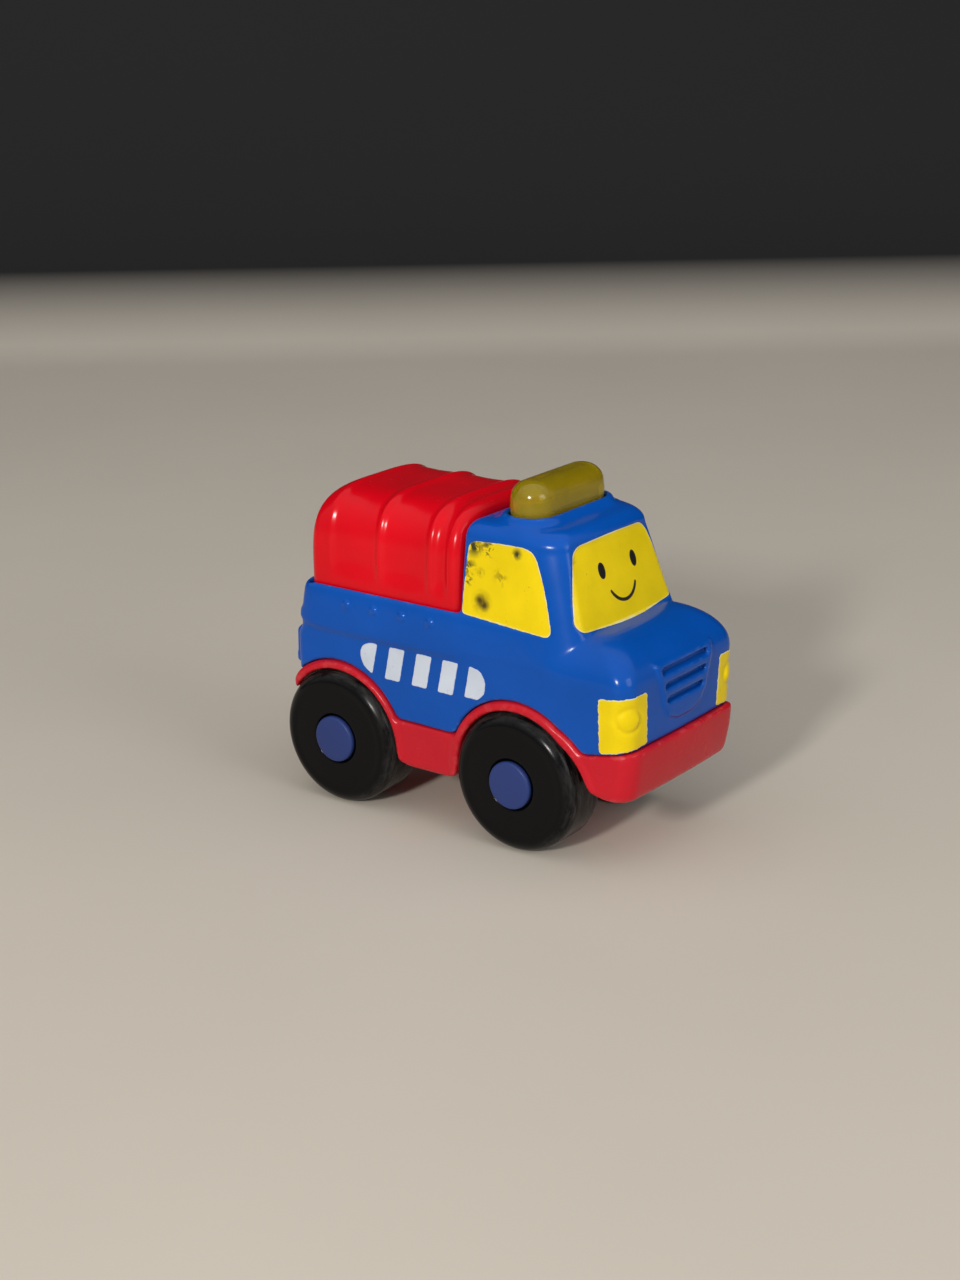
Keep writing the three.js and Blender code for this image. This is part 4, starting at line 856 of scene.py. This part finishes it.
# %% Turned parts
def turned(name, profile, marks, centre, side, segments=96):
    """Spins a profile of (radius, distance along the axle) round an axle across the car."""
    along, up = (value * MM for value in centre)
    shape = bmesh.new()
    mark = shape.verts.layers.float.new("tread")
    rows = []
    for i in range(segments):
        angle = 2 * math.pi * i / segments
        row = []
        for (radius, across), value in zip(profile, marks):
            x, z = along + radius * MM * math.sin(angle), up + radius * MM * math.cos(angle)
            vert = shape.verts.new((x, side * across * MM, z))
            vert[mark] = value
            row.append(vert)
        rows.append(row)
    bridge(shape, rows + rows[:1], closed=False)
    bmesh.ops.remove_doubles(shape, verts=shape.verts, dist=1e-7)
    bmesh.ops.recalc_face_normals(shape, faces=shape.faces)
    return finished(name, mesh_of(name, shape))


def curve(cx, cy, radius, start, stop, steps):
    return [(cx + radius * math.cos(math.radians(a)), cy + radius * math.sin(math.radians(a)))
            for a in np.linspace(start, stop, steps)]


OUTER, INNER, CAP_SEAT, WEB, BORE_END = 25.0, 12.0, 23.7, 21.0, 22.3  # faces, from the car's middle
BORE, HUB, RIM, CAP_SEAT_RADIUS = 1.65, 4.2, 13.2, 6.2
SHOULDER, BACK_ROUND, CAP_SEAT_ROUND = 3.5, 2.0, 0.55
FACE_CROWN, CROWN_START = 0.004, 7  # the face falls off by the square of how far out it is
TREAD_START, TREAD_BLEND = 14.6, 2.2  # the radius where the tread's mark begins, and how soon it is full

wheel_profile = [(BORE, BORE_END), (BORE, INNER), (HUB, INNER), (HUB, WEB)]
wheel_profile += [(RIM - 1.2, WEB), (RIM, WEB - 2.4), (RIM, INNER + 0.4)]
wheel_profile += curve(WHEEL_RADIUS - 2.3, INNER + BACK_ROUND, BACK_ROUND, -150, -90, 4)
wheel_profile += curve(WHEEL_RADIUS - BACK_ROUND, INNER + BACK_ROUND, BACK_ROUND, -80, 0, 10)
wheel_profile += [(WHEEL_RADIUS, h) for h in np.linspace(INNER + 2.6, OUTER - SHOULDER - 0.4, 8)]
wheel_profile += curve(WHEEL_RADIUS - SHOULDER, OUTER - SHOULDER, SHOULDER, 2, 86, 22)
wheel_profile += [(r, OUTER - FACE_CROWN * (r - CROWN_START) ** 2) for r in np.linspace(13.0, 7.4, 8)]
wheel_profile += curve(CAP_SEAT_RADIUS + CAP_SEAT_ROUND, OUTER - CAP_SEAT_ROUND, CAP_SEAT_ROUND, 90, 180, 7)
wheel_profile += [(CAP_SEAT_RADIUS, CAP_SEAT), (3.0, CAP_SEAT), (0.0, CAP_SEAT)]
treads = [float(np.clip((r - TREAD_START) / TREAD_BLEND, 0, 1)) if h > INNER + 0.5 else 0.0
          for r, h in wheel_profile]

CAP_RADIUS, CAP_ROUND, CAP_FOOT, CAP_SHOULDER, CAP_TOP = 5.8, 0.7, 24.0, 25.2, 26.1
CAP_FACE, CAP_CROWN = CAP_RADIUS - CAP_ROUND, 0.25
cap_profile = [(0.0, CAP_FOOT), (CAP_RADIUS, CAP_FOOT), (CAP_RADIUS, CAP_SHOULDER - 0.1)]
cap_profile += curve(CAP_FACE, CAP_SHOULDER, CAP_ROUND, 8, 62, 7)
cap_profile += [(r, CAP_TOP - CAP_CROWN * (r / 5.4) ** 2.2) for r in np.linspace(CAP_FACE, 0, 10)]
print("profile points of the wheel and the cap:", len(wheel_profile), len(cap_profile))

# %% [markdown]
# The wheels are black plastic with a satin gloss. The tread mark, broken up by noise, turns into
# the grey haze that rolling over floors leaves, and long streaks round the wheel keep it from
# looking dusted on.

# %% Wheels and hub caps
SIDES = (("left", 1), ("right", -1))
SCUFF_COLOUR, SCUFF_DULL = (0.05, 0.048, 0.045), 0.3

black_plastic = worn_plastic("wheel_black_plastic", (0.003, 0.003, 0.0035), 0.13,
                             pale=(0.05, 0.05, 0.052), dirt_and_shade=(0.012, 0.011, 0.010),
                             rub=0.35, grime_and_shade=0.6, shine=0.14)
tree, shader = black_plastic.node_tree, black_plastic.node_tree.nodes["Principled BSDF"]
place = next(n for n in tree.nodes if n.type == "TEX_COORD").outputs["Object"]
streaks = add_node(tree, "Mapping", Vector=place, Scale=(0.5, 2.2, 0.5))
haze = spread(tree, noise(tree, streaks.outputs["Vector"], 3.0, 6, 0.7), 0.4, 0.75)
haze = times(tree, haze, marked(tree, "tread"))
colour = shader.inputs["Base Color"].links[0].from_socket
gloss = shader.inputs["Roughness"].links[0].from_socket
tree.links.new(tint(tree, haze, colour, SCUFF_COLOUR), shader.inputs["Base Color"])
tree.links.new(plus(tree, gloss, times(tree, haze, SCUFF_DULL)), shader.inputs["Roughness"])
cap_plastic = worn_plastic("cap_blue_plastic", (0.022, 0.040, 0.155), 0.34,
                           pale=(0.1, 0.12, 0.3), dirt_and_shade=(0.008, 0.009, 0.03), rub=0.3)

no_tread = [0.0] * len(cap_profile)
for end, axle_x in (("front", FRONT_AXLE_X), ("rear", REAR_AXLE_X)):
    for name, side in SIDES:
        wheel = turned(f"tyre_{end}_{name}", wheel_profile, treads, (axle_x, AXLE_Z), side)
        wheel.data.materials.append(black_plastic)
        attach(wheel, f"{end}_wheels")
        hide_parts(f"wheel_{end}_{name}")
        cap = turned(f"cap_{end}_{name}", cap_profile, no_tread, (axle_x, AXLE_Z), side, segments=72)
        cap.data.materials.append(cap_plastic)
        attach(cap, f"{end}_wheels")
        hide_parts(f"hub_cap_{end}_{name}")
print("faces of a wheel and a cap:", len(wheel.data.polygons), len(cap.data.polygons))

# %% [markdown]
# The beacon is a hollow lens of clear amber plastic, pressed to light. It is a racetrack outline
# lofted over a dome, with its inner wall and the ledge that holds it under the roof, because light
# that passes through both walls is what gives it the dark olive look. The stem below works the
# switch.

# %% Beacon
BEACON_TOP, DOME, LENS_WALL = 86.2, 4.4, 1.6
INNER_TOP, INNER_FOOT = 84.6, 74.0
INNER_DOME = ((3.9, 0.0), (2.6, 0.15), (1.4, 0.8), (0.5, 1.9), (0.05, 3.2), (0.0, 4.2))  # in, and down
LEDGE_FOOT, LEDGE_TOP, LEDGE_OUT = 73.3, 74.7, 1.2
NECK_IN, NECK_TOP, SIDE_SWELL, SWELL_TURN = 0.5, 76.5, 0.5, 2.4
DOME_IN = 0.16  # the dome starts this far inside the racetrack
TIP_RADIUS = 0.02  # so that the last ring keeps an area
STEM_FOOT_RADIUS, STEM_TOP_RADIUS, STEM_LENGTH, STEM_MIDDLE = 1.7, 1.5, 15.6, 77.1


def racetrack(grow, height, steps=40):
    """The beacon's outline at a height, this much larger all round."""
    radius = max(BEACON_ROUND + grow, TIP_RADIUS)
    half_turn = np.linspace(0, math.pi, steps)
    ends = [(BEACON_STRAIGHT, a) for a in half_turn]
    ends += [(-BEACON_STRAIGHT, math.pi + a) for a in half_turn]
    return [(BEACON_X + radius * math.cos(a), shift + radius * math.sin(a), height) for shift, a in ends]


lens_profile = [(-LENS_WALL - inward, INNER_TOP - down) for inward, down in INNER_DOME]
lens_profile += [(-LENS_WALL, INNER_FOOT), (-LENS_WALL, LEDGE_FOOT), (LEDGE_OUT, LEDGE_FOOT)]
lens_profile += [(LEDGE_OUT, LEDGE_TOP), (-NECK_IN, LEDGE_TOP), (-NECK_IN, NECK_TOP)]
for t in np.linspace(0, 1, 11)[1:-1]:
    swell = SIDE_SWELL * math.sin(SWELL_TURN * t)
    lens_profile.append((swell - NECK_IN, NECK_TOP + (BEACON_TOP - DOME - NECK_TOP) * t))
lens_profile += [(DOME * math.cos(a) - DOME - DOME_IN, BEACON_TOP - DOME + DOME * math.sin(a))
                 for a in np.linspace(0, math.pi / 2, 18)]
lens_profile.append((TIP_RADIUS - BEACON_ROUND, BEACON_TOP))

lens = bmesh.new()
loft(lens, [racetrack(grow, height) for grow, height in lens_profile])
stem = bmesh.ops.create_cone(lens, cap_ends=True, segments=28, radius1=STEM_FOOT_RADIUS * MM,
                             radius2=STEM_TOP_RADIUS * MM, depth=STEM_LENGTH * MM)
bmesh.ops.translate(lens, verts=stem["verts"], vec=Vector((BEACON_X, 0, STEM_MIDDLE)) * MM)
bmesh.ops.recalc_face_normals(lens, faces=lens.faces)
beacon = finished("amber_beacon", mesh_of("amber_beacon", lens))

amber, tree, shader, place = plastic("amber_clear_plastic", (0.56, 0.41, 0.006), 0.12,
                                     Transmission_Weight=0.72, IOR=1.49, Specular_IOR_Level=0.3)
cloud = blotches(tree, place, 9, 3, 0.35, 0.7)
tree.links.new(tint(tree, cloud, (0.60, 0.45, 0.006), (0.72, 0.55, 0.012)), shader.inputs["Base Color"])
tree.links.new(spread(tree, noise(tree, place, 3, 5), 0.4, 0.75, 0.1, 0.26), shader.inputs["Roughness"])
roughen(tree, shader, noise(tree, place, 6, 1), 0.06)
beacon.data.materials.append(amber)
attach(beacon, "beacon")
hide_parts("beacon_button")
print("beacon rings:", len(lens_profile))

# %% [markdown]
# Paint. The windows and headlamps are sprayed yellow through a mask, and the bars on the sides are
# printed white. Painting them with a mask in the body's material would work, but its edge could
# only be as crisp as the shader's maths. A film is better: rows of points, each dropped on to the
# body along a ray, lifted by about a tenth of a millimetre or less, with its rim let into the skin.
# Each point keeps its distance from the rim, for the pale edge of the paint.

# %% Films on the body
CORNER_X, CORNER_Y, CORNER_RADIUS = 45.1, 18.2, 5  # of the front corner, seen from above
RIM_SINK = 0.03  # how far the rim of a film is let into the skin
touch = BVHTree.FromObject(body_shell, bpy.context.evaluated_depsgraph_get())


def across_car(side):
    return lambda u, v: (Vector((u, side * 60, v)), Vector((0, -side, 0)))


def along_car(u, v):
    return Vector((90, u, v)), Vector((-1, 0, 0))


def round_corner(side):
    """Rays that meet the front corner squarely. u is measured round it, from straight ahead."""
    def ray(u, v):
        angle = u / CORNER_RADIUS
        out = Vector((math.cos(angle), side * math.sin(angle), 0))
        return Vector((CORNER_X, side * CORNER_Y, v)) + 30 * out, -out
    return ray


def film(name, rows, depths, ray, lift, finish, slot, closed=True):
    """Lays rows of points on the body. depths says how far inside the rim each point is, in mm."""
    shape = bmesh.new()
    rim = shape.verts.layers.float.new("rim")
    laid = []
    for row, inside in zip(rows, depths):
        line = []
        for (u, v), depth in zip(row, inside):
            origin, direction = ray(u, v)
            spot, normal, _, _ = touch.ray_cast(origin * MM, direction)
            vert = shape.verts.new(spot + normal * (lift if depth > 0.01 else -RIM_SINK) * MM)
            vert[rim] = depth
            line.append(vert)
        laid.append(line)
    bridge(shape, laid, closed)
    bmesh.ops.remove_doubles(shape, verts=shape.verts, dist=1e-8)
    bmesh.ops.recalc_face_normals(shape, faces=shape.faces)
    _, direction = ray(*rows[0][0])
    if sum(face.normal.dot(direction) * face.calc_area() for face in shape.faces) > 0:
        bmesh.ops.reverse_faces(shape, faces=shape.faces)
    mesh = mesh_of(name, shape)
    mesh.shade_smooth()
    mesh.materials.append(finish)
    piece = into_scene(name, mesh)
    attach(piece, "body")


print("films lie on this many faces:", len(body_shell.data.polygons))

# %% [markdown]
# Most films are outlines filled with rings of points. A grid trimmed by the outline would leave a
# ragged rim, so the rings shrink towards the middle, and they come close together near the rim,
# where the paint's edge shows and the skin bends most. A small wobble makes the edge a sprayed one.

# %% Filled outlines
RING_SPACING = 0.5
RIM_DEPTHS = (1.4, 1.15, 0.9, 0.65, 0.45, 0.3, 0.15, 0.05, 0.0)  # of the last rings, inside the rim
LAST_SHARE, RIM_SHARE = 0.1, 0.09  # of the reach: where the even rings end, and the last ones begin
WAVES = ((1.0, 2.1, 0), (0.7, 4.7, 1), (0.5, 11.3, 2))  # of the wobble: size, rate and start


def filled(outline, wobble=0.0, spacing=0.35):
    """Rings of points from the middle of an outline to its rim, with the depth of each."""
    corners = np.array(outline)
    steps = np.linalg.norm(np.roll(corners, -1, 0) - corners, axis=1)
    run = np.concatenate(([0], np.cumsum(steps)))
    count = max(int(run[-1] / spacing), 24)
    at = np.linspace(0, run[-1], count, endpoint=False)
    loop = np.concatenate((corners, corners[:1]))
    edge = np.stack([np.interp(at, run, loop[:, axis]) for axis in (0, 1)], axis=1)
    middle = edge.mean(0)
    out = (edge - middle) / np.linalg.norm(edge - middle, axis=1)[:, None]
    wave = sum(size * np.sin(at * rate + start) for size, rate, start in WAVES)
    edge = edge + out * (wobble * wave)[:, None]
    reach = np.linalg.norm(edge - middle, axis=1)
    shares = np.linspace(1, LAST_SHARE, max(int(reach.max() / RING_SPACING), 4))
    rings = [reach * share for share in shares]
    rings += [np.minimum(reach * RIM_SHARE, depth) for depth in RIM_DEPTHS]
    rows = [[tuple(middle + o * max(r - d, 0)) for o, r, d in zip(out, reach, ring)] for ring in rings]
    return rows, [list(ring) for ring in rings]


print("rings near a rim:", len(RIM_DEPTHS))

# %% [markdown]
# The yellow is a sprayed paint: a little uneven, with a thin pale line along its rim. On the real car the
# windows carry most of the wear: green-black marks at the top of the side window, a brown smudge low down,
# and fine specks everywhere. Each mark is a noise held inside a soft ball at its own place, so it stays on
# that side of the car.

# %% Paint and print finishes
SPECK_COLOUR = (0.06, 0.05, 0.02)
GREEN_BLACK, BROWN = (0.006, 0.02, 0.012), (0.05, 0.032, 0.006)
MARKS = [  # place, reach and grain in mm, the noise's range, strength and stain
    ((5.6, -20.0, 71.2), 3.0, 2.0, (0.40, 0.50), 0.95, GREEN_BLACK),
    ((9.6, -19.8, 71.4), 3.0, 1.7, (0.48, 0.56), 0.9, GREEN_BLACK),
    ((4.4, -20.6, 66.4), 2.6, 1.5, (0.46, 0.54), 0.85, GREEN_BLACK),
    ((17.8, -19.9, 71.3), 1.7, 1.6, (0.36, 0.48), 0.95, GREEN_BLACK),
    ((8.8, -21.7, 58.9), 3.4, 3.0, (0.30, 0.62), 0.6, BROWN),
    ((8.2, -21.7, 59.2), 1.8, 1.4, (0.22, 0.42), 0.95, BROWN),
    ((9.6, -21.7, 58.2), 1.8, 1.4, (0.22, 0.42), 0.95, BROWN),
    ((4.2, -21.0, 63.6), 2.2, 1.1, (0.50, 0.56), 0.9, GREEN_BLACK),
    ((13.6, -20.8, 65.2), 2.6, 1.7, (0.46, 0.58), 0.5, BROWN),
    ((8.0, -20.9, 65.6), 1.5, 1.2, (0.40, 0.55), 0.7, BROWN),
    ((29.4, -16.2, 70.6), 2.6, 1.8, (0.5, 0.62), 0.6, GREEN_BLACK),
]


def near(tree, place, spot, reach_mm):
    """One at a spot on the car, in millimetres, fading to nothing at its reach."""
    away = add_node(tree, "VectorMath", Vector=place)
    away.operation = "DISTANCE"
    away.inputs[1].default_value = Vector(spot) * MM
    return spread(tree, away.outputs["Value"], reach_mm * MM, 0.25 * reach_mm * MM)


def film_finish(name, colour, edge_colour, roughness, marks=(), speck=0.35):
    finish, tree, shader, place = plastic(name, colour, roughness, Specular_IOR_Level=0.2)
    cloud = blotches(tree, place, 9, 4, 0.3, 0.7)
    base = tint(tree, cloud, shade(colour, 0.88), colour)
    edge = spread(tree, marked(tree, "rim"), 0.42, 0.12)
    edge = times(tree, edge, blotches(tree, place, 2.2, 3, 0.3, 0.6))
    base = tint(tree, edge, base, edge_colour)
    specks = blotches(tree, place, 1.1, 2, 0.7, 0.76)
    patchy = times(tree, specks, blotches(tree, place, 8, 2, 0.42, 0.6))
    base = tint(tree, times(tree, patchy, speck), base, SPECK_COLOUR)
    for spot, reach, grain, span, strength, stain in marks:
        smear = spread(tree, noise(tree, place, grain, 5, 0.65, 0.6), *span)
        smear = times(tree, near(tree, place, spot, reach), smear)
        base = tint(tree, times(tree, smear, strength), base, stain)
    tree.links.new(base, shader.inputs["Base Color"])
    dull = plus(tree, times(tree, cloud, 0.08), times(tree, specks, 0.15))
    tree.links.new(plus(tree, dull, roughness), shader.inputs["Roughness"])
    roughen(tree, shader, noise(tree, place, 1.6, 4), 0.02)
    return finish


yellow_paint = film_finish("yellow_paint", (0.84, 0.62, 0.002), (0.74, 0.70, 0.36), 0.3, MARKS)
white_print = film_finish("white_print", (0.60, 0.66, 0.76), (0.48, 0.54, 0.68), 0.36, speck=0.5)
black_print = film_finish("black_print", (0.010, 0.008, 0.008), (0.03, 0.025, 0.02), 0.3, speck=0.0)
print("marks of wear on the paint:", len(MARKS))

# %% [markdown]
# The windows, the headlamps and the five slanted bars. The outermost bars have a round outer end.
# The headlamps wrap round the front corners, so their rays turn with the corner.

# %% Windows, headlamps and bars
BAR_FOOT, BAR_HEAD, BAR_WIDTH, BAR_SLANT, BAR_CORNER = 34.8, 43.3, 4.6, 2.1, 0.5
STRAIGHT_BARS_X = (-17.9, -9.6, -1.6)  # where the upper rear corner of each is
REAR_BAR = [(-23.8, 35.3, 0.6), (-21.7, 43.3, 0.5), (-24.3, 43.3, 1.2),
            (-27.1, 41.7, 1.5), (-27.3, 38.5, 1.5), (-25.8, 36.3, 1.2)]
FRONT_BAR = [(4.4, 35.2, 0.5), (8.5, 35.2, 0.9), (10.5, 37.2, 1.1),
             (10.9, 40.5, 1.5), (9.3, 42.8, 1.2), (6.3, 43.3, 0.5)]
HEADLAMP = rounded([(-3.1, 31.0, 0.6), (3.6, 30.5, 2), (10.5, 29.3, 0.6), (10.4, 36, 2),
                    (10.3, 42.6, 0.9), (4.0, 43.3, 2), (-2.4, 43.6, 1.0), (-2.8, 37, 2)])
SCREEN_LIFT, WINDOW_LIFT, LAMP_LIFT, BAR_LIFT = 0.07, 0.05, 0.08, 0.04
WINDOW_WOBBLE, LAMP_WOBBLE, BAR_WOBBLE = 0.03, 0.07, 0.03


def straight_bar(rear):
    foot = rear - BAR_SLANT
    corners = [(foot, BAR_FOOT), (foot + BAR_WIDTH, BAR_FOOT)]
    corners += [(rear + BAR_WIDTH, BAR_HEAD), (rear, BAR_HEAD)]
    return rounded([(*corner, BAR_CORNER) for corner in corners])


bars = [straight_bar(rear) for rear in STRAIGHT_BARS_X] + [rounded(REAR_BAR), rounded(FRONT_BAR)]
film("yellow_windscreen", *filled(SCREEN), along_car, SCREEN_LIFT, yellow_paint, "paint_yellow")
for name, side in SIDES:
    film(f"yellow_side_window_{name}", *filled(SIDE_WINDOW, WINDOW_WOBBLE), across_car(side),
         WINDOW_LIFT, yellow_paint, "paint_yellow")
    film(f"yellow_headlamp_{name}", *filled(HEADLAMP, LAMP_WOBBLE), round_corner(side),
         LAMP_LIFT, yellow_paint, "paint_yellow")
    for i, outline in enumerate(bars):
        film(f"white_bar_{name}_{i + 1}", *filled(outline, BAR_WOBBLE), across_car(side),
             BAR_LIFT, white_print, "print_white")
print("bars on each side:", len(bars))

# %% [markdown]
# A plain smile is printed on the windscreen: two upright dots and an arc, as on any cheerful toy.
# The dots are filled outlines like the bars. The arc is a ribbon, so its rows run along it.

# %% Smile
DOT_Y, DOT_Z, DOT_HALF, DOT_HALF_HEIGHT = 6.4, 66.4, 1.25, 1.9
ARC_Z, ARC_RADIUS, ARC_START, ARC_STOP, ARC_HALF = 64.2, 5.6, 205, 335, 0.42  # angles in degrees
SMILE_LIFT = 0.12  # clear of the windscreen's own film


def dot(u, v, half_u, half_v):
    turns = np.linspace(0, 2 * math.pi, 48, endpoint=False)
    return [(u + half_u * math.cos(a), v + half_v * math.sin(a)) for a in turns]


def arc_ribbon(u, v, radius, start, stop, half):
    rows, depths = [], []
    for share in (-1, -0.9, -0.4, 0.4, 0.9, 1):
        row, inside = [], []
        for t in np.linspace(0, 1, 60):
            angle = math.radians(start + (stop - start) * t)
            width = half * math.sqrt(max(1 - (2 * t - 1) ** 12, 0.02))
            reach = radius + share * width
            row.append((u + reach * math.cos(angle), v + reach * math.sin(angle)))
            inside.append(0.0 if abs(share) == 1 or t in (0, 1) else width * (1 - abs(share)))
        rows.append(row)
        depths.append(inside)
    return rows, depths


for name, side in SIDES:
    outline = dot(side * DOT_Y, DOT_Z, DOT_HALF, DOT_HALF_HEIGHT)
    film(f"smile_dot_{name}", *filled(outline, spacing=0.2), along_car,
         SMILE_LIFT, black_print, "print_black")
arc = arc_ribbon(0, ARC_Z, ARC_RADIUS, ARC_START, ARC_STOP, ARC_HALF)
film("smile_arc", *arc, along_car, SMILE_LIFT, black_print, "print_black", closed=False)
print("smile laid, rows in its arc:", len(arc[0]))

# %% [markdown]
# What the mouldings hide keeps its CAD shape: axles, screws, and the lamp unit under the beacon.
# Each still gets a finish of its own. Turned steel is a metal whose roughness is drawn out in fine
# rings of noise, and the board's green varnish lets a pattern of copper tracks through.

# %% Finishes of the inner pieces
STEEL_BRIGHT, STEEL_DULL = (0.62, 0.62, 0.63), (0.46, 0.45, 0.44)
VARNISH, TRACKS = (0.014, 0.145, 0.042), (0.05, 0.26, 0.08)

steel, tree, shader, place = plastic("bright_steel", (0.60, 0.60, 0.61), 0.3, Metallic=1.0)
lathe = add_node(tree, "Mapping", Vector=place, Scale=(1, 0.15, 1)).outputs["Vector"]
tree.links.new(spread(tree, noise(tree, lathe, 0.5, 4), 0.3, 0.7, 0.18, 0.42), shader.inputs["Roughness"])
stain = blotches(tree, place, 4, 3, 0.35, 0.7)
tree.links.new(tint(tree, stain, STEEL_BRIGHT, STEEL_DULL), shader.inputs["Base Color"])

varnish, tree, shader, place = plastic("board_varnish", VARNISH, 0.35)
tracks = add_node(tree, "TexBrick", Vector=place, Scale=260.0, Mortar_Size=0.035)
tree.links.new(tint(tree, tracks.outputs["Fac"], VARNISH, TRACKS), shader.inputs["Base Color"])

inner_finishes = {
    "circuit_board": varnish,
    "switch_housing": worn_plastic("switch_black_plastic", (0.02, 0.02, 0.023), 0.4,
                                   pale=(0.06, 0.06, 0.06), dirt_and_shade=(0.01, 0.01, 0.01)),
    "switch_plunger": worn_plastic("plunger_white_plastic", (0.72, 0.70, 0.66), 0.4,
                                   pale=(0.8, 0.8, 0.78), dirt_and_shade=(0.3, 0.28, 0.24)),
    "lamp_led": worn_plastic("led_clear_plastic", (0.82, 0.76, 0.46), 0.15,
                             pale=(0.9, 0.86, 0.6), dirt_and_shade=(0.5, 0.45, 0.2)),
}
dressed = 0
for name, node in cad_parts.items():
    if node.hide_render:
        continue
    for holder in node.material_slots:
        holder.material = inner_finishes.get(name, steel)
        dressed += 1
print("CAD nodes with their own shape:", dressed)
